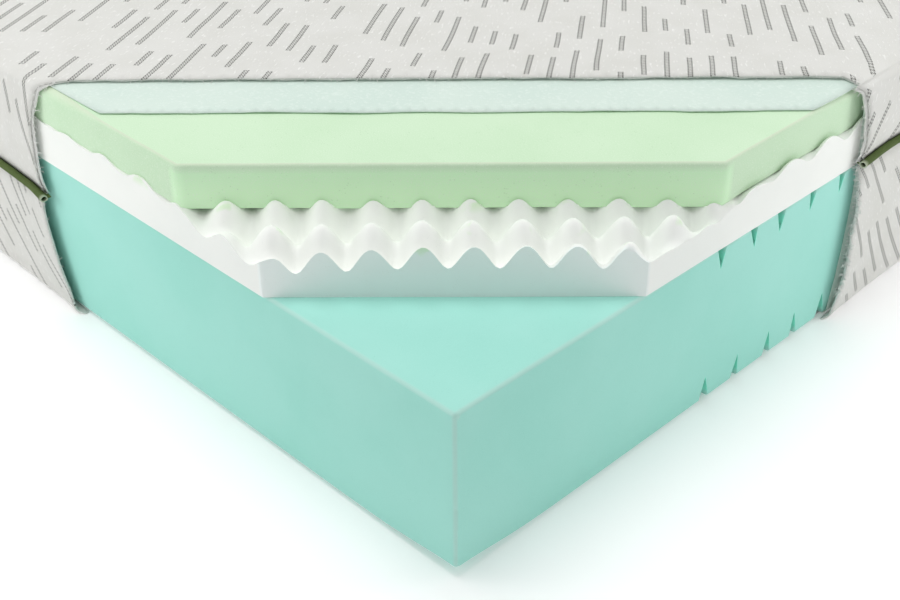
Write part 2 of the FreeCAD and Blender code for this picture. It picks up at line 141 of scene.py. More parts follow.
class Nodes:
    # Adds any node in one call: its type, its settings, the values or links of its sockets.
    def __init__(self, tree):
        self.tree = tree

    def add(self, kind, settings=None, values=None, out=0):
        node = self.tree.nodes.new(kind)
        for key, value in (settings or {}).items():
            setattr(node, key, value)
        for key, value in (values or {}).items():
            feed(self.tree, node.inputs[key], value)
        return Wire(self.tree, node.outputs[out]) if node.outputs else node

    def blend(self, factor, first, second):
        # Mix node on colours: sockets 6 and 7 are its colour inputs, output 2 its colour
        node = self.tree.nodes.new("ShaderNodeMix")
        node.data_type = "RGBA"
        feed(self.tree, node.inputs[0], factor)
        feed(self.tree, node.inputs[6], first)
        feed(self.tree, node.inputs[7], second)
        return Wire(self.tree, node.outputs[2])

    def onPiece(self):
        # the place on the piece, in metres
        return self.add("ShaderNodeTexCoord", None, None, "Object")

    def painted(self, name):
        # a number kept on the piece's own points
        return self.add("ShaderNodeAttribute", {"attribute_name": name}, None, "Fac")

    def mottle(self, place, scale, detail):
        return self.add("ShaderNodeTexNoise", None, {"Vector": place, "Scale": scale, "Detail": detail})

    def apart(self, vector):
        node = self.tree.nodes.new("ShaderNodeSeparateXYZ")
        feed(self.tree, node.inputs[0], vector)
        return [Wire(self.tree, socket) for socket in node.outputs]

    def joined(self, x, y, z=0.0):
        values = {"X": x, "Y": y, "Z": z}
        return self.add("ShaderNodeCombineXYZ", None, values)


def linear(red, green, blue):
    # colour as seen on a screen, 0 to 255, as the linear colour that the shader takes
    channels = []
    for channel in (red, green, blue):
        share = channel / 255
        channels.append(share / 12.92 if share < 0.04045 else ((share + 0.055) / 1.055) ** 2.4)
    return (*channels, 1.0)


def newMaterial(name):
    material = bpy.data.materials.new(name)
    material.use_nodes = True
    material.node_tree.nodes.clear()
    return material, Nodes(material.node_tree)


def finishMaterial(n, colour, roughness=0.9, heights=(), metallic=0.0, **plain):
    # heights: (height wire, distance in metres, strength) for a chain of Bump nodes
    normal = None
    for height, distance, strength in heights:
        values = {"Height": height, "Distance": distance, "Strength": strength}
        if normal is not None:
            values["Normal"] = normal
        normal = n.add("ShaderNodeBump", None, values)
    values = {"Base Color": colour, "Roughness": roughness, "Metallic": metallic, **plain}
    if normal is not None:
        values["Normal"] = normal
    shader = n.add("ShaderNodeBsdfPrincipled", None, values)
    n.add("ShaderNodeOutputMaterial", None, {"Surface": shader})


# small tools for meshes
def newPiece(name, mesh, material, body="mattress", smooth=True):
    piece = bpy.data.objects.new(name, mesh)
    bpy.context.scene.collection.objects.link(piece)
    mesh.materials.clear()
    mesh.materials.append(material)
    mesh.polygons.foreach_set("use_smooth", [smooth] * len(mesh.polygons))
    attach(piece, body)
    return piece


def meshFrom(name, points, faces):
    mesh = bpy.data.meshes.new(name)
    mesh.from_pydata([tuple(p) for p in points], [], faces)
    return mesh


def applied(piece, name):
    # the evaluated mesh, with its modifiers worked in and taken off
    graph = bpy.context.evaluated_depsgraph_get()
    mesh = bpy.data.meshes.new_from_object(piece.evaluated_get(graph))
    old = piece.data
    piece.modifiers.clear()
    piece.data = mesh
    bpy.data.meshes.remove(old)
    mesh.name = name
    return piece


def ringFaces(count, sides, start, flip=False):
    faces = []
    for i in range(count - 1):
        for j in range(sides):
            k = (j + 1) % sides
            a, b = start + i * sides, start + (i + 1) * sides
            ring = [a + j, a + k, b + k, b + j]
            faces.append(ring[::-1] if flip else ring)
    return faces


def cappedRings(count, sides):
    # a closed skin over rings of points, with one face over each end
    faces = ringFaces(count, sides, 0)
    faces.append(list(range(sides))[::-1])
    faces.append(list(range((count - 1) * sides, count * sides)))
    return faces


def facedOut(mesh):
    # turns the faces of a closed mesh outwards
    bm = bmesh.new()
    bm.from_mesh(mesh)
    bmesh.ops.recalc_face_normals(bm, faces=bm.faces)
    bm.to_mesh(mesh)
    bm.free()


def keepValues(mesh, name, values):
    # one number for each point, for the materials to read
    mesh.attributes.new(name, "FLOAT", "POINT").data.foreach_set("value", values)


def openedLeg(node):
    # how far along the core's sides from its corner a node's opened corner is cut back
    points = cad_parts[node].data.vertices
    return min((nearCorner.x - p.co.x) + (p.co.y - nearCorner.y) for p in points)


def smoothStep(x):
    x = np.clip(x, 0.0, 1.0)
    return x * x * (3 - 2 * x)


def ripple(x, y, z, scale, seed=0.0):
    # soft noise between -1 and 1
    return noise.noise(Vector((x / scale + seed, y / scale - seed, z / scale + 2 * seed)))


# foam materials
def foamMaterial(name, look):
    # open-cell foam: fine cells, small pores, and a soft change of tone over a hand's breadth
    material, n = newMaterial(name)
    place = n.onPiece()
    cells = n.mottle(place, look["cells"], 3.0)
    broad = n.mottle(place, 7.0, 3.0)
    pores = n.add("ShaderNodeTexVoronoi", None, {"Vector": place, "Scale": look["pores"]}, "Distance")
    sparse = n.add("ShaderNodeTexNoise", None, {"Vector": place, "Scale": look["pores"] * 0.23})
    pore = (1 - pores.rise(0.1, 0.24)) * sparse.rise(0.5, 0.62)
    rim = n.painted("rim")
    sawn = n.painted("sawn")
    colour = n.blend(broad.rise(0.35, 0.7), look["colour"], look["shade"])
    # cut faces get their own colour; in the base's slots and on the memory foam's cut face it holds painted
    # light, and on the memory foam it turns to painted shade towards the top
    sawnColour = look["sawn"]
    if "sawnHigh" in look:
        shade = n.apart(place)[2].rise(look["sawnFrom"], look["sawnFrom"] + 0.034)
        sawnColour = n.blend(shade, look["sawn"], look["sawnHigh"])
    colour = n.blend(sawn, colour, sawnColour)
    colour = n.blend(cells.rise(0.52, 0.72) * look["speckle"], colour, look["light"])
    colour = n.blend(pore * 0.4, colour, look["pore"])
    # painted highlight: a pale line along the rounded edges
    colour = n.blend(rim * look["rimShare"], colour, look["rim"])
    # patchy green on the upper parts of the humps, just under the green layer
    if "stain" in look:
        blotch = n.mottle(place, 26.0, 4.0)
        height = n.apart(place)[2]
        greenPatches = blotch.rise(0.57, 0.66) * height.rise(look["stainFrom"], look["stainFrom"] + 0.012)
        colour = n.blend(greenPatches * 0.6, colour, look["stain"])
    heights = ((broad, 0.004, 0.15), (cells, 0.0006, look["grain"]), (1 - pore, 0.0006, 0.3))
    finishMaterial(n, colour, 0.95, heights, **{"Specular IOR Level": 0.15})
    return material


baseLook = {
    "colour": linear(171, 230, 218),
    "shade": linear(165, 227, 214),
    # painted light: the slot walls are brighter and more saturated than the foam, standing in for light
    # bounced into the slots
    "sawn": linear(150, 242, 220),
    "light": linear(190, 240, 230),
    "pore": linear(140, 206, 192),
    # painted highlight along the rounded edges: its colour and how much of it is laid on
    "rim": linear(202, 234, 225),
    "rimShare": 0.5,
    "cells": 1100.0,
    "pores": 520.0,
    "speckle": 0.25,
    "grain": 0.12,
}
crateLook = {
    "colour": linear(248, 250, 246),
    "shade": linear(243, 246, 242),
    "sawn": linear(243, 250, 248),
    "light": linear(245, 245, 241),
    "pore": linear(226, 230, 225),
    # painted edge highlight colour; the crate's mesh has no edge mask
    "rim": linear(240, 240, 236),
    "rimShare": 0.3,
    "cells": 1000.0,
    "pores": 420.0,
    "speckle": 0.3,
    "grain": 0.12,
    "stain": linear(214, 243, 200),
    "stainFrom": 0.246,
}
memoryLook = {
    "colour": linear(208, 234, 203),
    "shade": linear(203, 231, 198),
    # cut face colour with painted light: lighter low down, as if lit from the white layer below
    "sawn": linear(219, 255, 212),
    "light": linear(232, 247, 229),
    "pore": linear(180, 214, 176),
    # painted highlight along the rounded edges: its colour and how much of it is laid on
    "rim": linear(214, 216, 198),
    "rimShare": 0.6,
    "cells": 760.0,
    "pores": 260.0,
    "speckle": 0.5,
    "grain": 0.2,
    # painted shade: the cut face turns darker from this height up
    "sawnHigh": linear(211, 248, 207),
    "sawnFrom": 0.262,
}
baseFoam = foamMaterial("tealBaseFoam", baseLook)
crateFoam = foamMaterial("whiteCrateFoam", crateLook)
memoryFoam = foamMaterial("greenMemoryFoam", memoryLook)
print("foam materials ready")


# base foam
base = {
    "edge": 0.0045,  # rounding along the long top edges
    "edgeSteps": 5,
    "slotSteps": 3,
    "slotLean": 0.004,
    "slotWander": 0.004,
    "mouth": {1: 0.0145, -1: 0.0165},  # widths of the slots in the top and in the underside
    "depth": {1: 0.027, -1: 0.035},
    "fine": 0.012,
    "coarse": 0.05,
    "pinch": 0.0016,  # dents along the near upright edge
    "toeLift": 0.009,  # how far the near bottom corner is rounded off
    "toeReach": 0.07,
}


def slotCentres(side):
    # the slots' places along the base, read from the tips of the CAD model's slots
    tipHeight = coreHigh.z - base["depth"][1] if side > 0 else coreLow.z + base["depth"][-1]
    points = [p.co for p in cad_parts["base_core"].data.vertices]
    return sorted({round(p.y, 4) for p in points if abs(p.z - tipHeight) < 0.0005})


def baseSection(shrink, rng):
    # the outline of the base seen from its long side, with its slots; shrink is the rounding
    # at the two long faces, which leaves the tips of the slots where they are
    rounding = base["edge"]
    low, high = coreLow.z + shrink * 0.6, coreHigh.z - shrink
    front, back = coreLow.y + shrink, coreHigh.y - shrink
    points, rims = [], []

    def add(y, z, rim=0.0):
        points.append((y, z))
        rims.append(rim)

    def corner(y, z, turn):
        for i in range(base["edgeSteps"] + 1):
            angle = turn + i / base["edgeSteps"] * math.pi / 2
            # painted highlight, strongest halfway round each rounded edge
            rim = math.sin(i / base["edgeSteps"] * math.pi)
            add(y + rounding * math.cos(angle), z + rounding * math.sin(angle), rim)

    def run(side, z):
        # along the underside the run goes towards the head, along the top back to the foot
        centres = slotCentres(side)
        marks = []
        for centre in centres:
            wander = rng.uniform(-1, 1) * base["slotWander"]
            lean = rng.uniform(-1, 1) * base["slotLean"]
            wide = base["mouth"][side] * rng.uniform(0.75, 1.15) / 2
            depth = base["depth"][side] * rng.uniform(0.92, 1.05)
            marks.append((centre + wander, lean, wide, depth))
        steps = list(np.arange(front + 0.02, marks[0][0] - 0.03, base["fine"]))
        line = [(y, z) for y in steps]
        for i, (centre, lean, wide, depth) in enumerate(marks):
            for j in range(-base["slotSteps"], base["slotSteps"] + 1):
                share = abs(j) / base["slotSteps"]
                y = centre + math.copysign(wide * share, j) + lean * (1 - share)
                line.append((y, z - side * (depth - shrink) * (1 - share)))
            if i + 1 < len(marks):
                line.append(((centre + marks[i + 1][0]) / 2, z))
        line += [(y, z) for y in np.arange(marks[-1][0] + 0.03, back - 0.02, base["coarse"])]
        for y, height in line if side < 0 else reversed(line):
            add(y, height)

    run(-1, low)
    corner(back - rounding, low + rounding, -math.pi / 2)
    for z in np.linspace(low + rounding, high - rounding, 8)[1:-1]:
        add(back, z)
    corner(back - rounding, high - rounding, 0)
    run(1, high)
    corner(front + rounding, high - rounding, math.pi / 2)
    for z in np.linspace(high - rounding, low + rounding, 46)[1:-1]:
        add(front, z)
    corner(front + rounding, low + rounding, math.pi)
    return points, rims


def baseWear(point):
    # dents along the near upright edge, and the near bottom corner rounded off
    x, y, z = point
    away = math.hypot(coreHigh.x - x, y - coreLow.y)
    dent = math.exp(-((away / 0.012) ** 2)) * max(0.0, ripple(0, 0, z, 0.016, 3.1) - 0.05)
    diagonal = Vector((-1, 1, 0)) / math.sqrt(2)
    moved = Vector(point) + diagonal * dent * base["pinch"] * 3
    along = max(coreHigh.x - x, y - coreLow.y)
    lift = base["toeLift"] * math.exp(-((along / base["toeReach"]) ** 2))
    moved.z += lift * max(0.0, 1 - (z - coreLow.z) / 0.05)
    moved.z += 0.0005 * ripple(x, y, 0, 0.11) * (z > coreHigh.z - 0.02)
    return moved


def makeBase():
    rounding, steps = base["edge"], base["edgeSteps"]
    stations = [(-coreHigh.x + rounding * (1 - math.sin(a)), rounding * (1 - math.cos(a)), a)
                for a in np.linspace(math.pi / 2, 0, steps + 1)]
    middle = [coreHigh.x - s for s in (0.012, 0.02, 0.035, 0.06, 0.1, 0.16, 0.25, 0.4, 0.7, 1.1)]
    xs = [(x, shrink, 0.7 * math.sin(2 * a)) for x, shrink, a in stations]
    xs += [(x, 0.0, 0.0) for x in reversed(middle)]
    xs += [(-x, shrink, math.sin(2 * a)) for x, shrink, a in reversed(stations)]
    points, rims, sawn = [], [], []
    for x, shrink, highlightAcross in xs:
        section, sectionHighlights = baseSection(shrink, np.random.default_rng(11))
        for (y, z), rim in zip(section, sectionHighlights):
            points.append(baseWear((x, y, z)))
            onSlot = coreLow.z + 0.005 < z < coreHigh.z - 0.005 and abs(y) < coreHigh.y - 0.02
            # painted highlight along the rounded edges, none on the slot walls
            rims.append(0.0 if onSlot else max(rim, highlightAcross))
            sawn.append(1.0 if onSlot else 0.0)
    faces = cappedRings(len(xs), len(section))
    mesh = meshFrom("baseFoamBlock", points, faces)
    keepValues(mesh, "rim", rims)
    keepValues(mesh, "sawn", sawn)
    bm = bmesh.new()
    bm.from_mesh(mesh)
    ends = [f for f in bm.faces if len(f.verts) > 4]
    bmesh.ops.inset_region(bm, faces=ends, thickness=0.0006, use_even_offset=True)
    for label in ("rim", "sawn"):
        layer = bm.verts.layers.float[label]
        for face in ends:
            for vert in face.verts:
                vert[layer] = 0.0
    bmesh.ops.triangulate(bm, faces=[f for f in bm.faces if len(f.verts) > 4])
    bmesh.ops.recalc_face_normals(bm, faces=bm.faces)
    bm.to_mesh(mesh)
    bm.free()
    piece = newPiece("baseFoamBlock", mesh, baseFoam)
    sharpen(piece, 50)
    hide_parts("base_core")
    return piece


def sharpen(piece, degrees):
    # smooth shading except over edges sharper than the angle
    bm = bmesh.new()
    bm.from_mesh(piece.data)
    for edge in bm.edges:
        edge.smooth = not (len(edge.link_faces) == 2 and edge.calc_face_angle(0) > math.radians(degrees))
    bm.to_mesh(piece.data)
    bm.free()


foamSlabs = [makeBase()]
print("base foam ready")


# foam slab, cut back at the opened corner
def slabOutline(leg, grow, radius, fine):
    # plan of a layer, counter-clockwise from its cut on the right side; grow moves it outwards
    w, l = coreHigh.x + grow, coreHigh.y + grow
    cut = leg + grow * 2
    points = []

    def line(a, b, step):
        count = max(2, int(math.dist(a, b) / step))
        for i in range(count):
            points.append((a[0] + (b[0] - a[0]) * i / count, a[1] + (b[1] - a[1]) * i / count))

    def arc(x, y, turn):
        for i in range(6):
            angle = turn + i / 6 * math.pi / 2
            points.append((x + radius * math.cos(angle), y + radius * math.sin(angle)))

    line((w, cut - l), (w, cut - l + 0.5), fine)
    line((w, cut - l + 0.5), (w, l - radius), 0.06)
    arc(w - radius, l - radius, 0)
    line((w - radius, l), (radius - w, l), 0.06)
    arc(radius - w, l - radius, math.pi / 2)
    line((-w, l - radius), (-w, radius - l), 0.06)
    arc(radius - w, radius - l, math.pi)
    line((radius - w, -l), (w - cut - 0.5, -l), 0.06)
    line((w - cut - 0.5, -l), (w - cut, -l), fine)
    line((w - cut, -l), (w, cut - l), fine)
    return np.array(points)


def outlineInset(points, amount):
    # moves a counter-clockwise plan inwards along the mean of each point's two edge normals
    before = points - np.roll(points, 1, axis=0)
    after = np.roll(points, -1, axis=0) - points
    normals = []
    for edge in (before, after):
        edge = edge / np.linalg.norm(edge, axis=1)[:, None]
        normals.append(np.stack([-edge[:, 1], edge[:, 0]], axis=1))
    mean = normals[0] + normals[1]
    scale = 2 / np.maximum(0.6, np.sum(mean * mean, axis=1))
    return points + mean * scale[:, None] * amount[:, None]


memory = {
    "grow": -0.0015,
    "topEdge": 0.0028,
    "softEdge": 0.007,  # more rounding where the cover presses on its edge
    "bottomEdge": 0.0025,
    "radius": 0.016,
    "fine": 0.008,
    "sag": 0.0012,
    "droop": 0.0032,  # its cut face hangs a little between the peaks
    "shift": (-0.004, -0.003),  # the slab lies a little off the middle
}


def makeMemoryFoam():
    low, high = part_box("memory_foam_layer")
    leg = openedLeg("memory_foam_layer")
    plan = slabOutline(leg, memory["grow"], memory["radius"], memory["fine"])
    rings = []  # inset, height, painted edge highlight
    reach = (nearCorner.x - plan[:, 0]) + (plan[:, 1] - nearCorner.y)
    lowEdge = memory["bottomEdge"]
    topEdge = memory["topEdge"] + memory["softEdge"] * smoothStep((reach - 0.52) / 0.12)
    rings.append((0.0045, low.z, 0.0))
    for a in np.linspace(0, math.pi / 2, 4):
        inset = lowEdge * (1 - math.sin(a))
        rings.append((inset, low.z + lowEdge * (1 - math.cos(a)), 0.0))
    for share in np.linspace(0, 1, 7)[1:]:
        rings.append((0.0, low.z + lowEdge + (high.z - topEdge - low.z - lowEdge) * share, 0.0))
    for a in np.linspace(0, math.pi / 2, 6)[1:]:
        inset = topEdge * (1 - math.cos(a))
        # painted highlight along the rounded top edge
        rings.append((inset, high.z - topEdge * (1 - math.sin(a)), math.sin(a) ** 2 * 0.8))
    rings.append((topEdge + 0.0012, high.z, 0.0))
    rings.append((topEdge + 0.008, high.z, 0.0))
    points, rims, sawn = [], [], []
    for inset, level, rim in rings:
        heights = np.broadcast_to(level, len(plan))
        insets = np.broadcast_to(inset, len(plan))
        for (x, y), z in zip(outlineInset(plan, insets), heights):
            deep = (nearCorner.x - x) + (y - nearCorner.y) - leg
            soft = 0.0006 * ripple(x, y, z, 0.05, 5.0)
            share = (z - low.z) / (high.z - low.z)
            droop = memory["droop"] * math.exp(-max(deep, 0.0) / 0.04)
            sag = (memory["sag"] * ripple(x, y, 0, 0.07, 9.0) - droop) * (1 - share)
            outward = Vector((x, y, 0)).normalized() * soft
            points.append((x + outward.x + memory["shift"][0], y + outward.y + memory["shift"][1], z + sag))
            rims.append(rim)
            sawn.append(float(np.clip(1 - (deep - 0.004) / 0.012, 0, 1) * (z < high.z - 0.004)))
    faces = cappedRings(len(rings), len(plan))
    mesh = meshFrom("memoryFoamSlab", points, faces)
    keepValues(mesh, "rim", rims)
    keepValues(mesh, "sawn", sawn)
    piece = newPiece("memoryFoamSlab", mesh, memoryFoam)
    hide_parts("memory_foam_layer")
    return piece


foamSlabs.append(makeMemoryFoam())
print("memory foam ready")


# convoluted foam
crate = {
    "pitchAcross": 0.0503,
    "pitchAlong": 0.0510,
    "turn": math.radians(2.41),
    "firstAcross": -0.1741,
    "firstAlong": 0.2857,
    "saddle": 0.0335,  # heights above the sheet's underside
    "swing": 0.0215,
    "sharp": 0.0035,
    "valley": 0.22,  # how round the valleys are
    "pressed": 0.0485,
    "fine": 0.004,
    "coarse": 0.0125,
    "fineReach": 0.56,
    "sideGrow": 0.0012,
    "footGrow": 0.0020,  # and further out at the foot end
    "wander": 0.007,  # how unevenly the rows run
    "uneven": 0.004,  # and how much the humps differ in height
    "bulge": 0.015,  # how far the row at the slab's cut face comes forward
    "trimShare": 0.6,  # how much shallower the waves are at the sheet's sides
    "trimReach": 0.012,
}


def crateSheet():
    # a flat slab, its top a grid in line with the opened corner's diagonal, cut to the outline
    low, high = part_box("convoluted_layer")
    leg = openedLeg("convoluted_layer")
    front = leg / math.sqrt(2)
    reach = crate["fineReach"]
    fine, coarse = crate["fine"], crate["coarse"]
    along = list(np.arange(front, reach, fine)) + list(np.arange(reach, 2.6, coarse))
    side = list(np.arange(reach, 1.5, coarse))
    across = [-a for a in reversed(side)] + list(np.arange(-reach + fine, reach, fine)) + side
    w, l = coreHigh.x + crate["sideGrow"], coreHigh.y + crate["sideGrow"]
    u, d = np.meshgrid(across, along)
    x = nearCorner.x + (u - d) / math.sqrt(2)
    y = nearCorner.y + (u + d) / math.sqrt(2)
    inside = (np.abs(x) < w + 0.02) & (np.abs(y) < l + 0.02)
    index = np.arange(u.size).reshape(u.shape)
    quads = np.stack([index[:-1, :-1], index[:-1, 1:], index[1:, 1:], index[1:, :-1]], axis=-1)
    keep = inside[:-1, :-1] & inside[:-1, 1:] & inside[1:, 1:] & inside[1:, :-1]
    points = np.stack([x.ravel(), y.ravel(), np.full(u.size, high.z)], axis=1)
    mesh = meshFrom("crateFoamSheet", points, quads[keep].tolist())
    bm = bmesh.new()
    bm.from_mesh(mesh)
    bmesh.ops.delete(bm, geom=[v for v in bm.verts if not v.link_faces], context="VERTS")
    foot = l + crate["footGrow"]
    for normal, reachOut in (((1, 0, 0), w), ((-1, 0, 0), w), ((0, 1, 0), l), ((0, -1, 0), foot)):
        everything = bm.verts[:] + bm.edges[:] + bm.faces[:]
        plane = Vector(normal) * reachOut
        bmesh.ops.bisect_plane(bm, geom=everything, dist=1e-5, plane_co=plane, plane_no=normal,
                               clear_outer=True)
    top, bottom = high.z, low.z
    edges = [e for e in bm.edges if e.is_boundary]
    for share in (0.93, 0.5, 0.0):
        made = bmesh.ops.extrude_edge_only(bm, edges=edges)["geom"]
        for v in made:
            if isinstance(v, bmesh.types.BMVert):
                v.co.z = bottom + (top - bottom) * share
        edges = [e for e in made if isinstance(e, bmesh.types.BMEdge)]
    bmesh.ops.contextual_create(bm, geom=edges)
    bmesh.ops.recalc_face_normals(bm, faces=bm.faces)
    bm.to_mesh(mesh)
    bm.free()
    return mesh


def geometryTree(name, inputs):
    # a Geometry Nodes group with named inputs; returns its tree, its input wires and their ids
    tree = bpy.data.node_groups.new(name, "GeometryNodeTree")
    tree.interface.new_socket("Geometry", in_out="INPUT", socket_type="NodeSocketGeometry")
    tree.interface.new_socket("Geometry", in_out="OUTPUT", socket_type="NodeSocketGeometry")
    ids = {}
    for label, kind in inputs.items():
        socket = tree.interface.new_socket(label, in_out="INPUT", socket_type=kind)
        ids[label] = socket.identifier
    source = tree.nodes.new("NodeGroupInput")
    wires = {socket.name: Wire(tree, socket) for socket in source.outputs if socket.name}
    return tree, wires, ids


def finishTree(tree, geometry, material):
    n = Nodes(tree)
    solid = n.add("GeometryNodeRealizeInstances", None, {"Geometry": geometry})
    painted = n.add("GeometryNodeSetMaterial", None, {"Geometry": solid, "Material": material})
    out = tree.nodes.new("NodeGroupOutput")
    tree.links.new(painted.socket, out.inputs["Geometry"])


def grow(piece, tree, ids, values):
    # runs a Geometry Nodes group on a piece and keeps the plain mesh that it gives
    modifier = piece.modifiers.new(tree.name, "NODES")
    modifier.node_group = tree
    for label, value in values.items():
        modifier[ids[label]] = value
    return applied(piece, piece.name)


def crateTree():
    # the peaks and valleys: two rows of humps across each other
    number = "NodeSocketFloat"
    labels = ("Pitch across", "Pitch along", "Turn", "First across", "First along", "Corner X",
              "Corner Y", "Underside", "Thickness", "Saddle", "Swing", "Sharpness", "Valley", "Pressed",
              "Open to", "Side X", "Side Y")
    tree, wires, ids = geometryTree("convolutedFoam", dict.fromkeys(labels, number))
    n = Nodes(tree)
    here = n.add("GeometryNodeInputPosition")
    x, y, z = n.apart(here)
    fromX, fromY = x - wires["Corner X"], y - wires["Corner Y"]
    u = (fromX + fromY) * math.sqrt(0.5)
    d = (fromY - fromX) * math.sqrt(0.5)
    cosine, sine = wires["Turn"].cos(), wires["Turn"].sin()
    drift = n.add("ShaderNodeTexNoise", None, {"Vector": here, "Scale": 14.0, "Detail": 1.0}, "Color")
    driftX, driftY, driftZ = n.apart(drift)
    p = u * cosine + d * sine - wires["First across"] + (driftX - 0.5) * crate["wander"]
    # the row at the slab's cut face bulges out in front of it
    squeezed = (d - wires["Open to"] - 0.008) / 0.026
    squeezed = (squeezed * squeezed * -1.0).math("EXPONENT", squeezed * squeezed * -1.0)
    bulge = squeezed * u.rise(-0.2, 0.24) * crate["bulge"]
    q = d * cosine - u * sine + bulge - wires["First along"] + (driftY - 0.5) * crate["wander"]
    waves = []
    for distance, pitch in ((p, wires["Pitch across"]), (q, wires["Pitch along"])):
        hump = (distance / pitch * math.pi).cos()
        lowest = wires["Valley"] ** 0.5
        highest = (wires["Valley"] + 1.0) ** 0.5
        rounded = (hump * hump + wires["Valley"]) ** 0.5
        waves.append((rounded - lowest) / (highest - lowest) * 2.0 - 1.0)
    shape = (waves[0] + waves[1]) * 0.5
    height = wires["Saddle"] + shape * wires["Swing"] + shape * shape * wires["Sharpness"]
    height = height + (driftZ - 0.5) * crate["uneven"]
    # the waves are shallower where the sheet was cut to size at its sides
    trims = []
    for place, edge in ((x, wires["Side X"]), (y, wires["Side Y"])):
        trims.append(place.abs().rise(edge - crate["trimReach"], edge + 0.004))
    trimmed = trims[0].most(trims[1]) * crate["trimShare"]
    height = height + trimmed * (wires["Saddle"] + 0.007 - height)
    # the peaks are pressed flat under the slab, but not in front of its side faces
    inner = (x.abs() < wires["Side X"]) * (y.abs() < wires["Side Y"]) * (d > wires["Open to"])
    # under the slab the valleys are squeezed, most of all away from its cut face; at its sides
    # the peaks stand in front
    under = d.rise(wires["Open to"] - 0.006, wires["Open to"] + 0.009)
    deep = d.rise(wires["Open to"] + 0.004, wires["Open to"] + 0.026)
    flattened = wires["Pressed"] - 0.0036 + deep * 0.0072 + shape * (0.0130 - deep * 0.0048)
    height = height + under * (flattened - height)
    height = height - inner * (height - height.least(wires["Pressed"]))
    share = (z - wires["Underside"]) / wires["Thickness"]
    moved = n.joined(x, y, wires["Underside"] + share * height)
    shaped = n.add("GeometryNodeSetPosition", None, {"Geometry": wires["Geometry"], "Position": moved})
    finishTree(tree, shaped, crateFoam)
    return tree, ids


def makeCrate():
    low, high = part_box("convoluted_layer")
    piece = newPiece("crateFoamSheet", crateSheet(), crateFoam)
    tree, ids = crateTree()
    values = {
        "Pitch across": crate["pitchAcross"],
        "Pitch along": crate["pitchAlong"],
        "Turn": crate["turn"],
        "First across": crate["firstAcross"],
        "First along": crate["firstAlong"],
        "Corner X": nearCorner.x,
        "Corner Y": nearCorner.y,
        "Underside": low.z,
        "Thickness": high.z - low.z,
        "Saddle": crate["saddle"],
        "Swing": crate["swing"],
        "Sharpness": crate["sharp"],
        "Valley": crate["valley"],
        "Pressed": crate["pressed"],
        "Open to": openedLeg("memory_foam_layer") / math.sqrt(2) + 0.001,
        "Side X": coreHigh.x - 0.004,
        "Side Y": coreHigh.y - 0.004,
    }
    grow(piece, tree, ids, values)
    mesh = piece.data
    leg = openedLeg("convoluted_layer")
    sawn = []
    for v in mesh.vertices:
        deep = (nearCorner.x - v.co.x) + (v.co.y - nearCorner.y) - leg
        sawn.append(1.0 if deep < 0.0015 else 0.0)
    keepValues(mesh, "sawn", sawn)
    mesh.polygons.foreach_set("use_smooth", [True] * len(mesh.polygons))
    sharpen(piece, 55)
    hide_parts("convoluted_layer")
    return piece


foamSlabs.append(makeCrate())
print("convoluted foam ready")


# fabric materials
rope = {
    "column": 0.0255,  # spacing of the knitted dashes
    "cell": 0.135,  # each dash and its gap share a stretch of this length
    "width": 0.0068,
    "strand": 0.0017,
    "twist": 0.0046,
}


def knitMaterial(name, look):
    # off-white knit with grey rope-like dashes along it; the UV map is in metres on the cloth
    material, n = newMaterial(name)
    across, along = n.apart(n.add("ShaderNodeUVMap", {"uv_map": "cloth"}))[:2]
    onCloth = n.joined(across, along)
    wobble = n.mottle(onCloth, 9.0, 1.0)
    column = (across + (wobble - 0.5) * 0.006) / rope["column"]
    number = column.floor()
    side = (column.fract() - 0.5) * rope["column"]
    start = n.add("ShaderNodeTexWhiteNoise", {"noise_dimensions": "1D"}, {"W": number}, "Value")
    cell = along / rope["cell"] + start * 7.0
    cellNumber = cell.floor()
    pick = n.add("ShaderNodeTexWhiteNoise", {"noise_dimensions": "2D"},
                 {"Vector": n.joined(number, cellNumber)}, "Color")
    shiftPick, lengthPick, skipPick = n.apart(pick)
    share = cell.fract()
    first = shiftPick * 0.22
    last = first + 0.26 + lengthPick * 0.6
    dash = share.rise(first, first + 0.012) * (1 - share.rise(last - 0.012, last)) * (skipPick > 0.03)
    body = 1 - side.abs().rise(rope["width"] * 0.42, rope["width"] * 0.5)
    rails = (side.abs() - rope["width"] * 0.34).abs()
    rail = 1 - rails.rise(rope["strand"] * 0.35, rope["strand"] * 0.75)
    slant = ((along + side * 0.55) / rope["twist"] * (2 * math.pi)).sin()
    dots = slant.rise(-0.35, 0.45)
    middle = (1 - side.abs().rise(rope["width"] * 0.1, rope["width"] * 0.3)) * (1 - dots)
    ink = (rail * (0.35 + dots * 0.65)).most(middle * 0.6) * body * dash
    rows = (along / 0.0016 * (2 * math.pi)).sin()
    wales = (across / 0.0013 * (2 * math.pi)).sin()
    loops = (rows * wales + 1) * 0.5
    fleckPlace = n.joined(across * 300.0, along * 95.0)
    flecks = n.mottle(fleckPlace, 1.0, 2.0)
    fleck = flecks.rise(0.6, 0.7)
    broad = n.mottle(onCloth, 16.0, 3.0)
    colour = n.blend(broad.rise(0.35, 0.7), look["colour"], look["shade"])
    colour = n.blend(loops * 0.3, colour, look["dark"])
    colour = n.blend(fleck * 0.5, colour, look["fleck"])
    colour = n.blend(ink, colour, look["ink"])
    height = loops * 0.35 + fleck * 0.5 + dash * body * (0.6 + dots * 0.5)
    heights = ((broad, 0.003, 0.2), (height, 0.0009, 0.55))
    finishMaterial(n, colour, 0.92, heights, **{"Specular IOR Level": 0.2, "Sheen Weight": 0.15})
    return material


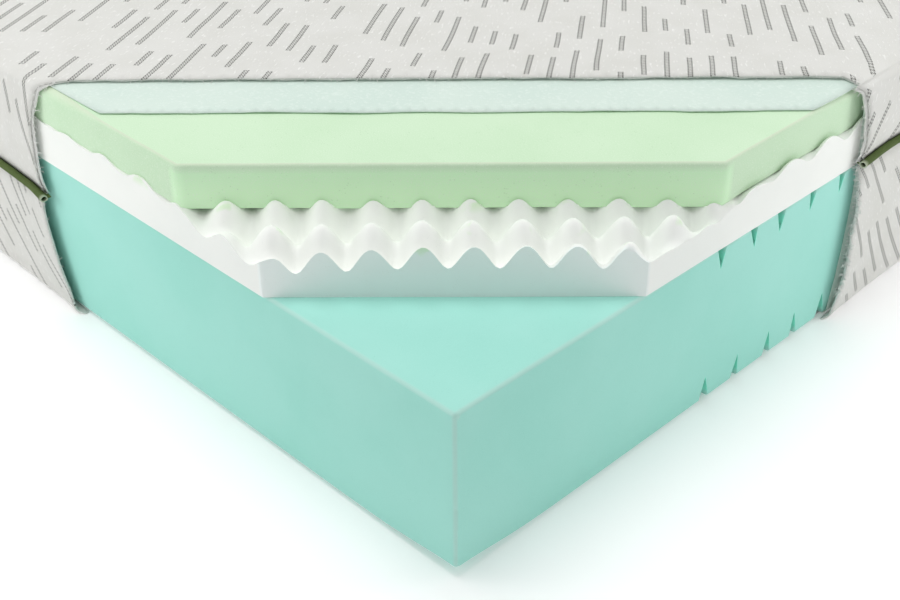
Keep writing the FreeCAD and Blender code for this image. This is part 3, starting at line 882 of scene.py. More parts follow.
def clothMaterial(name, look):
    # plain textile: fine crossed threads or fibres, with a soft change of tone
    material, n = newMaterial(name)
    place = n.onPiece()
    x, y, z = n.apart(place)
    fibres = n.mottle(place, look["fibres"], 4.0)
    broad = n.mottle(place, 12.0, 2.0)
    pitch = 2 * math.pi / look["thread"]
    weave = ((x + z) * pitch).sin() * ((y + z) * pitch).sin()
    weave = (weave + 1) * 0.5
    colour = n.blend(broad.rise(0.35, 0.7), look["colour"], look["shade"])
    colour = n.blend(weave * look["weave"], colour, look["dark"])
    colour = n.blend(fibres.rise(0.5, 0.7) * 0.5, colour, look["light"])
    heights = ((fibres, 0.001, 0.3), (weave, 0.0005, look["weave"]))
    finishMaterial(n, colour, 0.9, heights, **{"Specular IOR Level": 0.2})
    return material


def pipingMaterial(name):
    # olive knitted tube: slanting ribs round it, from its own UV map (metres along, turns round)
    material, n = newMaterial(name)
    along, turn = n.apart(n.add("ShaderNodeUVMap", {"uv_map": "cloth"}))[:2]
    rib = ((along / 0.0021 + turn * 2.0) * (2 * math.pi)).sin()
    wale = (turn * 16.0 * (2 * math.pi)).sin()
    knit = (rib * 0.6 + wale * 0.4 + 1) * 0.5
    place = n.onPiece()
    broad = n.mottle(place, 40.0, 3.0)
    colour = n.blend(broad.rise(0.3, 0.7), linear(104, 122, 70), linear(92, 112, 60))
    colour = n.blend(knit, linear(62, 78, 38), colour)
    # the same attribute marks the sleeve's pale cut ends, their own colour
    rim = n.painted("rim")
    colour = n.blend(rim, colour, linear(206, 214, 190))
    finishMaterial(n, colour, 0.8, ((knit, 0.0006, 0.5),), **{"Specular IOR Level": 0.25})
    return material


def metalMaterial(name):
    material, n = newMaterial(name)
    place = n.onPiece()
    scratch = n.mottle(place, 1500.0, 3.0)
    cloud = n.mottle(place, 160.0, 2.0)
    colour = n.blend(cloud, linear(176, 177, 178), linear(205, 205, 203))
    finishMaterial(n, colour, 0.28 + scratch * 0.2, ((scratch, 0.0002, 0.2),), metallic=1.0)
    return material


def nylonMaterial(name):
    material, n = newMaterial(name)
    place = n.onPiece()
    cloud = n.mottle(place, 220.0, 3.0)
    colour = n.blend(cloud.rise(0.3, 0.7), linear(206, 207, 202), linear(224, 225, 221))
    finishMaterial(n, colour, 0.35 + cloud * 0.15, ((cloud, 0.0003, 0.2),))
    return material


knitLook = {
    "colour": linear(226, 226, 222),
    "shade": linear(221, 221, 216),
    "dark": linear(196, 196, 190),
    "fleck": linear(250, 250, 248),
    "ink": linear(84, 85, 80),
}
sockLook = {
    "colour": linear(214, 229, 220),
    "shade": linear(209, 226, 217),
    "dark": linear(196, 216, 207),
    "light": linear(226, 238, 231),
    "fibres": 260.0,
    "thread": 0.003,
    "weave": 0.12,
}
waddingLook = {
    "colour": linear(238, 238, 235),
    "shade": linear(228, 229, 225),
    "dark": linear(205, 206, 203),
    "light": linear(250, 250, 249),
    "fibres": 420.0,
    "thread": 0.005,
    "weave": 0.1,
}
tapeLook = {
    "colour": linear(226, 226, 221),
    "shade": linear(219, 219, 214),
    "dark": linear(186, 186, 180),
    "light": linear(238, 238, 235),
    "fibres": 500.0,
    "thread": 0.0014,
    "weave": 0.5,
}
threadLook = {
    "colour": linear(236, 236, 231),
    "shade": linear(226, 226, 220),
    "dark": linear(176, 176, 170),
    "light": linear(248, 248, 245),
    "fibres": 1400.0,
    "thread": 0.0006,
    "weave": 0.5,
}
bottomLook = {
    "colour": linear(222, 223, 220),
    "shade": linear(214, 215, 212),
    "dark": linear(176, 178, 176),
    "light": linear(236, 236, 234),
    "fibres": 320.0,
    "thread": 0.0022,
    "weave": 0.45,
}
cordLook = {
    "colour": linear(232, 230, 222),
    "shade": linear(222, 219, 209),
    "dark": linear(196, 193, 182),
    "light": linear(244, 243, 238),
    "fibres": 900.0,
    "thread": 0.0016,
    "weave": 0.5,
}
knit = knitMaterial("ropeKnit", knitLook)
sockCloth = clothMaterial("sockNonWoven", sockLook)
wadding = clothMaterial("coverWadding", waddingLook)
tapeCloth = clothMaterial("zipTapeWeave", tapeLook)
bottomCloth = clothMaterial("bottomCloth", bottomLook)
cordFibre = clothMaterial("fillerCord", cordLook)
pipingKnit = pipingMaterial("pipingKnit")
threadTwist = clothMaterial("sewingThread", threadLook)
teethNylon = nylonMaterial("zipNylon")
nickel = metalMaterial("zipNickel")
print("fabric materials ready")


# cloth round the foam
class Cloth:
    # gathers grids of faces with their own places on the flat cloth, then sews them together
    def __init__(self):
        self.points = []
        self.faces = []
        self.places = []

    def grid(self, points, places, inside=None):
        rows, columns = points.shape[:2]
        start = len(self.points)
        self.points.extend(points.reshape(-1, 3).tolist())
        flat = places.reshape(-1, 2).tolist()
        for i in range(rows - 1):
            for j in range(columns - 1):
                k = i * columns + j
                ring = [k, k + 1, k + columns + 1, k + columns]
                if inside is not None:
                    ring = [m for m in ring if inside[m // columns, m % columns]]
                if len(ring) < 3:
                    continue
                self.faces.append([start + m for m in ring])
                self.places.append([flat[m] for m in ring])

    def sewn(self, name, material, thickness):
        mesh = meshFrom(name, self.points, self.faces)
        layer = mesh.uv_layers.new(name="cloth")
        flat = [value for ring in self.places for place in ring for value in place]
        layer.data.foreach_set("uv", flat)
        bm = bmesh.new()
        bm.from_mesh(mesh)
        bmesh.ops.remove_doubles(bm, verts=bm.verts, dist=2e-5)
        bmesh.ops.dissolve_degenerate(bm, edges=bm.edges, dist=1e-6)
        bmesh.ops.recalc_face_normals(bm, faces=bm.faces)
        facing = sum(f.calc_area() * f.normal.dot(f.calc_center_median() - coreMiddle) for f in bm.faces)
        if facing < 0:
            bmesh.ops.reverse_faces(bm, faces=bm.faces)
        bm.to_mesh(mesh)
        bm.free()
        piece = newPiece(name, mesh, material)
        shell = piece.modifiers.new("thickness", "SOLIDIFY")
        shell.thickness = thickness
        shell.offset = -1.0
        piece = applied(piece, name)
        for v in piece.data.vertices:
            v.co.z = max(v.co.z, 0.0)
        return piece


def axisSteps(total, cut, count):
    # distances from the near corner: even as far as the cut, then wider apart
    step = cut / count
    beyond = [cut]
    while beyond[-1] < total:
        step = min(step * 1.12, 0.045)
        beyond.append(beyond[-1] + step)
    beyond = cut + (np.array(beyond[1:]) - cut) * (total - cut) / (beyond[-1] - cut)
    return np.concatenate([np.linspace(0, cut, count + 1), beyond])


fan = {
    "way": Vector((-0.621, 0.783)),  # the dashes' direction on the top
    "centre": Vector((nearCorner.x - 0.389, nearCorner.y + 0.389)),
    "aside": 0.185,  # where the dashes would meet, seen from the centre
    "ahead": 3.48,
    "reach": 0.5,
}


def topPlace(x, y):
    # where a point of the unfolded top cap lies on its cloth; the dashes fan out a little
    way = fan["way"]
    fromX, fromY = x - fan["centre"].x, y - fan["centre"].y
    along = fromX * way.x + fromY * way.y
    across = fromX * way.y - fromY * way.x
    near = fan["reach"] * np.tanh(along / fan["reach"])
    return np.stack([(across - fan["aside"]) / (1 - near / fan["ahead"]) + fan["aside"], along], axis=-1)


def flatPlace(x, y):
    # a panel that lies on its cloth just as it lies under the mattress
    return np.stack([x, y], axis=-1)


def borderPlace(around, height):
    # where a point of the border strip lies on its cloth, which is cut on the slant
    lean = math.radians(33)
    across = around * math.cos(lean) + height * math.sin(lean)
    along = around * math.sin(lean) - height * math.cos(lean)
    return np.stack([across * 1.35, along], axis=-1)


cover = {
    "edge": 0.011,  # rounding from the top to the sides
    "lip": 0.004,
    "leg": openedLeg("cover_top_knit"),
    "cutSteps": 48,
    "flareSide": 0.0065,
    "flareTop": 0.0012,
    "flareReach": 0.05,
    "bow": 0.027,  # how far the cut at the foot end bows back at half height
    "footShift": 0.001,  # and how far both cuts stand forward of the straight line
    "footLowShift": 0.012,
    "rightShift": 0.029,
    "rightLowShift": 0.005,
    "rightBow": 0.014,
    "topBack": 0.007,
    "turn": 12,  # how sharply the cut turns down over the edge of the top
    "sideReach": 0.09,
    "bulge": 0.0028,
    "seamPinch": 0.002,
    "sideFrom": 0.022,  # a point this near the outer face begins to count as being on a side
    "sideOver": 0.016,
    "fade": 0.2,  # how far behind the cut the cloth is still moved by it
    "uneven": 0.0022,  # long and short waves in the cut
    "ragged": 0.0009,
    "raggedReach": 0.012,
    "calm": 0.0006,  # and in the cloth everywhere
}
sideNames = ("right", "head", "left", "foot")
seam = {
    "height": (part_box("piping_sleeve")[0].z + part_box("piping_sleeve")[1].z) / 2,
    "rightRise": 0.038,
    "footSag": 0.013,
    "reach": 0.55,
    "flange": 0.0004,
}


def cutDepth(x, y, leg):
    # how far a place lies behind a cut at the opened corner, along the sides
    return (nearCorner.x - x) + (y - nearCorner.y) - leg


def cutSumOf(hx, hy, leg):
    # the same cut, seen from the corner of a panel with these half sizes
    return leg - (nearCorner.x - hx) - (-hy - nearCorner.y)


def seamHeight(side, depth):
    # the seam climbs towards the cut on the right side and sags towards it at the foot end
    fade = math.exp(-((max(depth, 0.0) / seam["reach"]) ** 2))
    drift = {"right": seam["rightRise"], "foot": -seam["footSag"]}.get(side, 0.0)
    return seam["height"] + drift * fade


def settle(point, leg, extra=0.0, rough=0.0):
    # how the cloth stands off the foam and is cut unevenly near the opened corner
    x, y, z = point
    depth = max(0.0, cutDepth(x, y, leg))
    onRight = float(smoothStep((x - halfWidth + cover["sideFrom"]) / cover["sideOver"]))
    onFoot = float(smoothStep((-y - halfLength + cover["sideFrom"]) / cover["sideOver"]))
    onTop = max(0.0, 1 - onRight - onFoot)
    near = math.exp(-depth / cover["flareReach"])
    wave = ripple(x, y, z, 0.045, 2.0)
    small = ripple(x, y, z, 0.012, 7.0)
    stand = near * (1 + 0.35 * wave)
    rise = min(max(z / coverHigh.z, 0.0), 1.0)
    out = Vector((onRight, -onFoot, 0)) * cover["flareSide"] * stand * (1 - rise**6)
    out.z = onTop * cover["flareTop"] * stand * (z > 0.1)
    fade = 1 - float(smoothStep(depth / cover["fade"]))
    bow = cover["bow"] * math.sin(math.pi * rise)
    bow -= cover["footShift"] * rise + cover["footLowShift"] * (1 - rise)
    nearRight = float(smoothStep((x - halfWidth + cover["sideReach"]) / cover["sideReach"]))
    nearFoot = float(smoothStep((-y - halfLength + cover["sideReach"]) / cover["sideReach"]))
    turn = cover["turn"]
    forward = onTop * (nearRight**turn * cover["rightShift"] + nearFoot**turn * cover["footShift"])
    forward -= onTop * cover["topBack"]
    onRightSide = cover["rightShift"] + cover["rightLowShift"] * (1 - rise)
    onRightSide -= cover["rightBow"] * math.sin(math.pi * rise)
    uneven = cover["uneven"] * wave + (cover["ragged"] + rough) * small
    edge = math.exp(-depth / cover["raggedReach"])
    shift = (onFoot * bow - onRight * onRightSide - forward) * fade + uneven * fade
    shift -= extra * edge * (onRight + onFoot - 0.7 * onTop)
    away = Vector((-onFoot - onTop * 0.7071, onRight + onTop * 0.7071, 0))
    calm = cover["calm"] * ripple(x, y, z, 0.16, 4.0)
    outward = Vector((onRight, -onFoot, onTop * (z > 0.1)))
    return Vector(point) + out + away * shift + outward * calm


def sideStations(side, hx, hy, xs, ys, leg, radius, turns=6):
    # places along one side: its base point, its outward way, and its place along the cloth
    ends = {
        "right": ((hx, -hy), (0, 1), (1, 0), ys),
        "head": ((hx, hy), (-1, 0), (0, 1), xs),
        "left": ((-hx, hy), (0, -1), (-1, 0), ys[-1] - ys[::-1]),
        "foot": ((-hx, -hy), (1, 0), (0, -1), xs[-1] - xs[::-1]),
    }
    start, way, out, steps = ends[side]
    if side == "right":
        steps = [v for v in steps if cutDepth(hx, v - hy, leg) > -1e-6]
    if side == "foot":
        steps = [v for v in steps if cutDepth(v - hx, -hy, leg) > -1e-6]
    rows = []

    def turned(angle):
        return (out[0] * math.cos(angle) - out[1] * math.sin(angle),
                out[0] * math.sin(angle) + out[1] * math.cos(angle))

    if side != "right":
        for i in range(turns):
            angle = (i / turns - 1) * math.pi / 4
            rows.append((start, turned(angle), angle * radius))
    for v in steps:
        rows.append(((start[0] + way[0] * v, start[1] + way[1] * v), out, v))
    if side != "foot":
        end = rows[-1][0]
        for i in range(1, turns + 1):
            angle = i / turns * math.pi / 4
            rows.append((end, turned(angle), rows[len(rows) - i][2] + angle * radius))
    return rows, way


def unfolded(side, hx, hy, v, e):
    # a point of a side's drop as it lies on the flat cloth, beyond the edge of the top
    return {
        "right": (hx + e, v - hy),
        "head": (hx - v, hy + e),
        "left": (-hx - e, hy - v),
        "foot": (v - hx, -hy - e),
    }[side]


def topGrid(cloth, hx, hy, z, cutSum, count, placeOf, move):
    # a flat panel with its opened corner cut off along a diagonal
    xs, ys = axisSteps(2 * hx, cutSum, count), axisSteps(2 * hy, cutSum, count)
    sx, sy = np.meshgrid(xs, ys)
    x, y = hx - sx, sy - hy
    points = np.stack([x, y, np.full(x.shape, z)], axis=-1)
    inside = sx + sy > cutSum - 1e-6
    moved = np.array([move(p) for p in points.reshape(-1, 3)]).reshape(points.shape)
    cloth.grid(moved, placeOf(x, y), inside)
    return xs, ys


def dropProfile(top, low, edge, lip, pinchAt, bulge, steps=9):
    # from the flat top over the rounded edge and down: outward reach, height, length from the top
    rows = [(0.0, top, 0.0), (lip, top, lip)]
    for i in range(1, 7):
        a = i / 6 * math.pi / 2
        rows.append((lip + edge * math.sin(a), top - edge * (1 - math.cos(a)), lip + edge * a))
    length = rows[-1][2]
    for share in np.linspace(0, 1, steps + 1)[1:]:
        z = (top - edge) + (low - top + edge) * share
        pinch = cover["seamPinch"] * math.exp(-abs(z - pinchAt) / 0.005)
        out = lip + edge + bulge * math.sin(math.pi * share) - pinch
        rows.append((out, z, length + (top - edge - z)))
    return rows


def stationLean(side, base, leg):
    # how far behind the cut a station is, and how much it leans along its side to meet the cut
    depth = cutDepth(base[0], base[1], leg) if side in ("right", "foot") else 9.0
    return depth, max(0.0, 1 - depth / 0.1) * (1 if side == "right" else -1)


def sideDrop(cloth, side, stations, way, profileOf, placeOf, leg, move):
    points, places = [], []
    for base, out, v in stations:
        depth, lean = stationLean(side, base, leg)
        row, flat = [], []
        for reach, z, length in profileOf(side, depth):
            x = base[0] + out[0] * reach + way[0] * reach * lean
            y = base[1] + out[1] * reach + way[1] * reach * lean
            row.append(move((x, y, z)))
            flat.append(placeOf(side, v, length, z))
        points.append(row)
        places.append(flat)
    points = np.array([[tuple(p) for p in row] for row in points])
    cloth.grid(points, np.array(places))
    return points


def capPiece(name, material, inward, thickness, extra, rough, node):
    # the top cap as one cloth: the top, and its drop to the seam on all four sides
    inset = cover["edge"] + cover["lip"]
    hx, hy = halfWidth - inset, halfLength - inset
    leg = cover["leg"]
    cutSum = cutSumOf(hx, hy, leg)
    top, edge = coverHigh.z - inward, cover["edge"] - inward
    cloth = Cloth()

    def move(point):
        return settle(point, leg, extra, rough)

    xs, ys = topGrid(cloth, hx, hy, top, cutSum, cover["cutSteps"], topPlace, move)

    def profileOf(side, depth):
        low = seamHeight(side, depth) + seam["flange"]
        return dropProfile(top, low, edge, cover["lip"], low, cover["bulge"])

    def placeOf(side, v, length, z):
        x, y = unfolded(side, hx, hy, v, length)
        return topPlace(x, y)

    edges = {}
    for side in sideNames:
        stations, way = sideStations(side, hx, hy, xs, ys, leg, inset)
        points = sideDrop(cloth, side, stations, way, profileOf, placeOf, leg, move)
        edges[side] = points[0] if side == "right" else points[-1]
    piece = cloth.sewn(name, material, thickness)
    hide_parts(node)
    return piece, edges


knitCap, knitEdges = capPiece("coverTopCap", knit, 0.0, 0.001, 0.0, 0.0, "cover_top_knit")
waddingCap, waddingEdges = capPiece("coverTopWadding", wadding, 0.0016, 0.0016, 0.0025, 0.0025,
                                    "cover_top_wadding")
print("top cap ready")


# the sock round the foam
sock = {
    "edge": 0.009,
    "bottomEdge": 0.004,
    "thickness": 0.0009,
    "steps": 46,
    "rightBack": 0.004,  # how far its cut stands behind the cover's: right side, foot, underneath
    "footBack": 0.006,
    "underBack": 0.04,
}


def sockMove(point):
    # its cut edge is a little uneven, and it lies loosely on the foam
    x, y, z = point
    depth = max(0.0, cutDepth(x, y, openedTop))
    fade = math.exp(-depth / 0.03) * (z > coreHigh.z)
    uneven = 0.0035 * ripple(x, y, 0, 0.09, 6.0) + 0.0008 * ripple(x, y, 0, 0.012, 8.0)
    lift = (0.0006 + 0.0012 * max(0.0, ripple(x, y, 0, 0.05, 1.0))) * fade
    shift = uneven * fade * 0.7071
    return Vector((x - shift, y + shift, z + lift))


def makeSock():
    low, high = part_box("fire_barrier_sock")
    inset = sock["edge"]
    hx, hy = high.x - inset, high.y - inset
    cloth = Cloth()
    cutSum = cutSumOf(hx, hy, openedTop)
    xs, ys = topGrid(cloth, hx, hy, high.z, cutSum, sock["steps"], topPlace, sockMove)
    sideLeg = openedSides

    def profileOf(side, depth):
        edge, lowEdge = sock["edge"], sock["bottomEdge"]
        rows = []
        for a in np.linspace(0, math.pi / 2, 7):
            rows.append((edge * math.sin(a), high.z - edge * (1 - math.cos(a)), edge * a))
        for z in np.linspace(high.z - edge, low.z + lowEdge, 8)[1:]:
            rows.append((edge, z, high.z - z))
        for a in np.linspace(0, math.pi / 2, 4)[1:]:
            rows.append((edge - lowEdge * (1 - math.cos(a)), low.z + lowEdge * (1 - math.sin(a)), high.z))
        rows.append((0.0, low.z, high.z + edge))
        return rows

    def placeOf(side, v, length, z):
        return unfolded(side, hx, hy, v, length)

    def alongRight(p):
        return Vector((p[0], settle(p, sideLeg).y + sock["rightBack"], p[2]))

    def alongFoot(p):
        return Vector((settle(p, sideLeg).x - sock["footBack"], p[1], p[2]))

    moves = {"right": alongRight, "foot": alongFoot}
    for side in sideNames:
        stations, way = sideStations(side, hx, hy, xs, ys, sideLeg, inset)
        move = moves.get(side, Vector)
        sideDrop(cloth, side, stations, way, profileOf, placeOf, sideLeg, move)
    underSum = cutSumOf(hx, hy, sideLeg + sock["underBack"])
    topGrid(cloth, hx, hy, low.z, underSum, sock["steps"], flatPlace, Vector)
    piece = cloth.sewn("fireBarrierSock", sockCloth, sock["thickness"])
    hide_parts("fire_barrier_sock")
    return piece


topPoints = [p.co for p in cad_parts["fire_barrier_sock"].data.vertices if p.co.z > coreHigh.z]
sidePoints = [p.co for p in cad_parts["fire_barrier_sock"].data.vertices
              if p.co.z < coreHigh.z - sock["edge"]]
openedTop = min((nearCorner.x - p.x) + (p.y - nearCorner.y) for p in topPoints)
openedSides = min((nearCorner.x - p.x) + (p.y - nearCorner.y) for p in sidePoints)
sockPiece = makeSock()
print("sock ready")


# the lower border and the panel underneath
border = {
    "thickness": 0.0022,
    "edge": 0.008,  # rounding from the border to the underside
    "inset": 0.012,  # the seam under the mattress, from the outer face
    "bulge": 0.0022,
    "leg": openedLeg("border_foot"),
}


def borderPiece(name, node, side, zTop, zLow, first=None, last=None):
    # one strip of the border; zTop None means up to the piping's seam, first and last are along it
    cloth = Cloth()
    inset = border["inset"]
    hx, hy = halfWidth - inset, halfLength - inset
    leg = border["leg"]
    cutSum = cutSumOf(hx, hy, leg)
    xs, ys = axisSteps(2 * hx, cutSum, cover["cutSteps"]), axisSteps(2 * hy, cutSum, cover["cutSteps"])
    stations, way = sideStations(side, hx, hy, xs, ys, leg, inset)
    if first is not None:
        length = 2 * (hy if side in ("right", "left") else hx)
        stations = [s for s in stations if first + 1e-6 < s[2] < last - 1e-6]
        start = Vector((hx, hy, 0)) if side == "head" else Vector((-hx, hy, 0))
        for v in (first, last):
            if 0 <= v <= length:
                base = start + v * Vector((*way, 0))
                stations.append(((base.x, base.y), (0, 1), v))
        stations.sort(key=lambda s: s[2])

    def profileOf(side, depth):
        high = seamHeight(side, depth) - seam["flange"] if zTop is None else zTop
        edge = border["edge"]
        rows = []
        for share in np.linspace(0, 1, 9 if zTop is None else 3):
            z = high + (max(zLow, edge) - high) * share
            whole = min(max((z - edge) / (seam["height"] - edge), 0.0), 1.0)
            pinch = cover["seamPinch"] * math.exp(-abs(z - high) / 0.005) * (zTop is None)
            rows.append((inset + border["bulge"] * math.sin(math.pi * whole) - pinch, z, high - z))
        if zLow > 0:
            return rows
        for a in np.linspace(0, math.pi / 2, 6)[1:]:
            reach = inset - edge * (1 - math.cos(a))
            rows.append((reach, edge * (1 - math.sin(a)), high - edge + edge * a))
        rows.append((0.0, 0.0, high + inset))
        return rows

    def placeOf(side, v, length, z):
        return borderPlace(v + 3.1 * sideNames.index(side), z)

    def move(point):
        return settle(point, leg)

    points = sideDrop(cloth, side, stations, way, profileOf, placeOf, leg, move)
    piece = cloth.sewn(name, knit, border["thickness"])
    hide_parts(node)
    return piece, points[0] if side == "right" else points[-1]


def zipEnds():
    # where the zip starts and ends along the head side, and its upper and lower edges
    low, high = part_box("zip_tape_lower")
    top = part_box("zip_tape_upper")[1]
    reach = halfWidth - border["inset"]
    return reach - high.x, reach - low.x, low.z, top.z


zipFirst, zipLast, zipLow, zipHigh = zipEnds()
wholeHead = 2 * (halfWidth - border["inset"]) + 1.0
borders = {}
borders["foot"], footEdge = borderPiece("borderFoot", "border_foot", "foot", None, 0.0)
borders["right"], rightEdge = borderPiece("borderRight", "border_right", "right", None, 0.0)
borders["left"] = borderPiece("borderLeft", "border_left", "left", None, 0.0)[0]
borders["headUpper"] = borderPiece("borderHeadUpper", "border_head_upper", "head", None, zipHigh)[0]
borders["headLower"] = borderPiece("borderHeadLower", "border_head_lower", "head", zipLow, 0.0)[0]
borders["endRight"] = borderPiece("zipEndRight", "zip_end_right", "head", zipHigh, zipLow,
                                  -1.0, zipFirst)[0]
borders["endLeft"] = borderPiece("zipEndLeft", "zip_end_left", "head", zipHigh, zipLow,
                                 zipLast, wholeHead)[0]


def makeBottomPanel():
    inset = border["inset"]
    hx, hy = halfWidth - inset, halfLength - inset
    leg = openedLeg("bottom_panel")
    cutSum = cutSumOf(hx, hy, leg)
    cloth = Cloth()

    def move(point):
        x, y, z = point
        fade = math.exp(-max(0.0, cutDepth(x, y, leg)) / 0.03)
        shift = 0.003 * ripple(x, y, 0, 0.05, 4.0) * fade * 0.7071
        shift += 0.034 * fade * float(smoothStep((x + y) / -0.7))
        return Vector((x - shift, y + shift, z))

    topGrid(cloth, hx, hy, 0.0, cutSum, 40, flatPlace, move)
    piece = cloth.sewn("bottomPanel", bottomCloth, 0.0016)
    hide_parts("bottom_panel")
    return piece


bottomPiece = makeBottomPanel()
print("border and bottom panel ready")


# piping in the seam between the top cap and the border
piping = {
    "radius": 0.0045,
    "wall": 0.0012,
    "flat": 0.9,  # the tube is a little lower than it is wide
    "step": 0.006,
    "sides": 20,
    "proud": 0.003,  # its centre from the cover's outer face
    "ahead": (0.008, 0.019),  # how far its cut ends stand out of the cover's cut
    "cordRadius": 0.0031,
    "cordBack": 0.008,
    "flapFrom": 0.003,
    "tuck": 0.009,
    "flapThickness": 0.0008,
}


def pipingPath():
    # the seam's line from the cut on the right side, round the far sides, to the cut at the foot
    inset = cover["edge"] + cover["lip"]
    hx, hy = halfWidth - inset, halfLength - inset
    leg = cover["leg"]
    cutSum = cutSumOf(hx, hy, leg)
    xs, ys = axisSteps(2 * hx, cutSum, cover["cutSteps"]), axisSteps(2 * hy, cutSum, cover["cutSteps"])
    reach = inset + piping["proud"]
    rough = []
    for side in sideNames:
        stations, way = sideStations(side, hx, hy, xs, ys, leg, inset, 12)
        for base, out, v in stations:
            depth, lean = stationLean(side, base, leg)
            x = base[0] + out[0] * reach + way[0] * reach * lean
            y = base[1] + out[1] * reach + way[1] * reach * lean
            point = settle((x, y, seamHeight(side, depth)), leg)
            if not rough or (point - rough[-1]).length > 1e-4:
                rough.append(point)
    first = rough[0] + (rough[0] - rough[1]).normalized() * piping["ahead"][0]
    last = rough[-1] + (rough[-1] - rough[-2]).normalized() * piping["ahead"][1]
    rough = np.array([tuple(p) for p in [first, *rough, last]])
    lengths = np.concatenate([[0], np.cumsum(np.linalg.norm(np.diff(rough, axis=0), axis=1))])
    count = int(lengths[-1] / piping["step"])
    even = np.linspace(0, lengths[-1], count)
    path = np.stack([np.interp(even, lengths, rough[:, i]) for i in range(3)], axis=1)
    for i in range(1, count - 1):
        path[i, 2] += 0.0007 * ripple(*path[i], 0.06, 12.0)
    return path, even


def tubeRings(path, radii, sides):
    # rings of points round a level path; radii are (sideways, upright)
    tangents = np.gradient(path, axis=0)
    tangents /= np.linalg.norm(tangents, axis=1)[:, None]
    aside = np.stack([tangents[:, 1], -tangents[:, 0], np.zeros(len(path))], axis=1)
    aside /= np.linalg.norm(aside, axis=1)[:, None]
    upright = np.cross(aside, tangents)
    angles = np.arange(sides) / sides * 2 * math.pi
    around = aside[:, None, :] * (np.cos(angles) * radii[0])[None, :, None]
    around = around + upright[:, None, :] * (np.sin(angles) * radii[1])[None, :, None]
    return path[:, None, :] + around, aside, tangents


def makePiping():
    path, distance = pipingPath()
    sides = piping["sides"]
    outer, aside, tangents = tubeRings(path, (piping["radius"], piping["radius"] * piping["flat"]), sides)
    thin = piping["radius"] - piping["wall"]
    inner = tubeRings(path, (thin, thin * piping["flat"]), sides)[0]
    count = len(path)
    # the cut ends are uneven
    for end, sign in ((0, -1), (count - 1, 1)):
        for j in range(sides):
            push = 0.0011 * ripple(j * 0.37, end, 0, 0.6, 2.0) * sign
            outer[end, j] += tangents[end] * push
            inner[end, j] += tangents[end] * push
    # the flap that is sewn into the seam
    near, far, half = -piping["flapFrom"], -piping["tuck"], piping["flapThickness"] / 2
    flap = []
    for i in range(count):
        for reach, z in ((near, -half), (near, half), (far, half), (far, -half)):
            flap.append(path[i] + aside[i] * reach + np.array([0, 0, z]))
    flap = np.array(flap)
    points = np.concatenate([outer.reshape(-1, 3), inner.reshape(-1, 3), flap])
    whole = count * sides
    faces = ringFaces(count, sides, 0) + ringFaces(count, sides, whole, True)
    places = []
    for start in (0, whole):
        for i in range(count - 1):
            for j in range(sides):
                u = (distance[i], distance[i + 1])
                v = (j / sides, (j + 1) / sides)
                ring = [(u[0], v[0]), (u[0], v[1]), (u[1], v[1]), (u[1], v[0])]
                places.append(ring[::-1] if start else ring)
    for j in range(sides):
        k = (j + 1) % sides
        last = (count - 1) * sides
        faces.append([j, whole + j, whole + k, k])
        faces.append([last + k, whole + last + k, whole + last + j, last + j])
        places += [[(0.0, j / sides)] * 4, [(distance[-1], j / sides)] * 4]
    flapStart = 2 * whole
    for ring in ringFaces(count, 4, flapStart):
        faces.append(ring)
        places.append([(distance[(m - flapStart) // 4], (m % 4) * 0.05) for m in ring])
    faces.append([flapStart + 3, flapStart + 2, flapStart + 1, flapStart])
    faces.append([flapStart + (count - 1) * 4 + m for m in range(4)])
    places += [[(0.0, 0.0)] * 4, [(0.0, 0.0)] * 4]
    mesh = meshFrom("pipingSleeve", points, faces)
    layer = mesh.uv_layers.new(name="cloth")
    layer.data.foreach_set("uv", [value for ring in places for place in ring for value in place])
    rims = np.zeros(len(points))
    for end in (0, count - 1):
        rims[end * sides:(end + 1) * sides] = 0.6
        rims[whole + end * sides:whole + (end + 1) * sides] = 1.0
    keepValues(mesh, "rim", rims)
    facedOut(mesh)
    piece = newPiece("pipingSleeve", mesh, pipingKnit)
    sharpen(piece, 60)
    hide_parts("piping_sleeve")
    return path


def makePipingCord(path):
    # the filler cord: three strands laid together, set back inside the sleeve's cut ends
    back = int(piping["cordBack"] / piping["step"]) + 1
    path = path[back:-back]
    sides = 18
    rings = tubeRings(path, (1.0, 1.0), sides)[0]
    angles = np.arange(sides) / sides * 2 * math.pi
    for i in range(len(path)):
        twist = i * piping["step"] / 0.022 * 2 * math.pi
        radii = piping["cordRadius"] * (0.86 + 0.14 * np.abs(np.cos((angles - twist) * 1.5)))
        rings[i] = path[i] + (rings[i] - path[i]) * radii[:, None]
    points = rings.reshape(-1, 3)
    faces = cappedRings(len(path), sides)
    mesh = meshFrom("pipingCord", points, faces)
    facedOut(mesh)
    piece = newPiece("pipingCord", mesh, cordFibre)
    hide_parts("piping_cord")


pipingLine = makePiping()
makePipingCord(pipingLine)
print("piping ready")


# loose threads along the cut edges
fray = {
    "length": 0.0065,
    "radius": 0.0003,
}


def lineMesh(name, lines):
    points, edges = [], []
    for line in lines:
        start = len(points)
        points += [tuple(p) for p in line]
        edges += [(start + i, start + i + 1) for i in range(len(line) - 1)]
    mesh = bpy.data.meshes.new(name)
    mesh.from_pydata(points, edges, [])
    return mesh


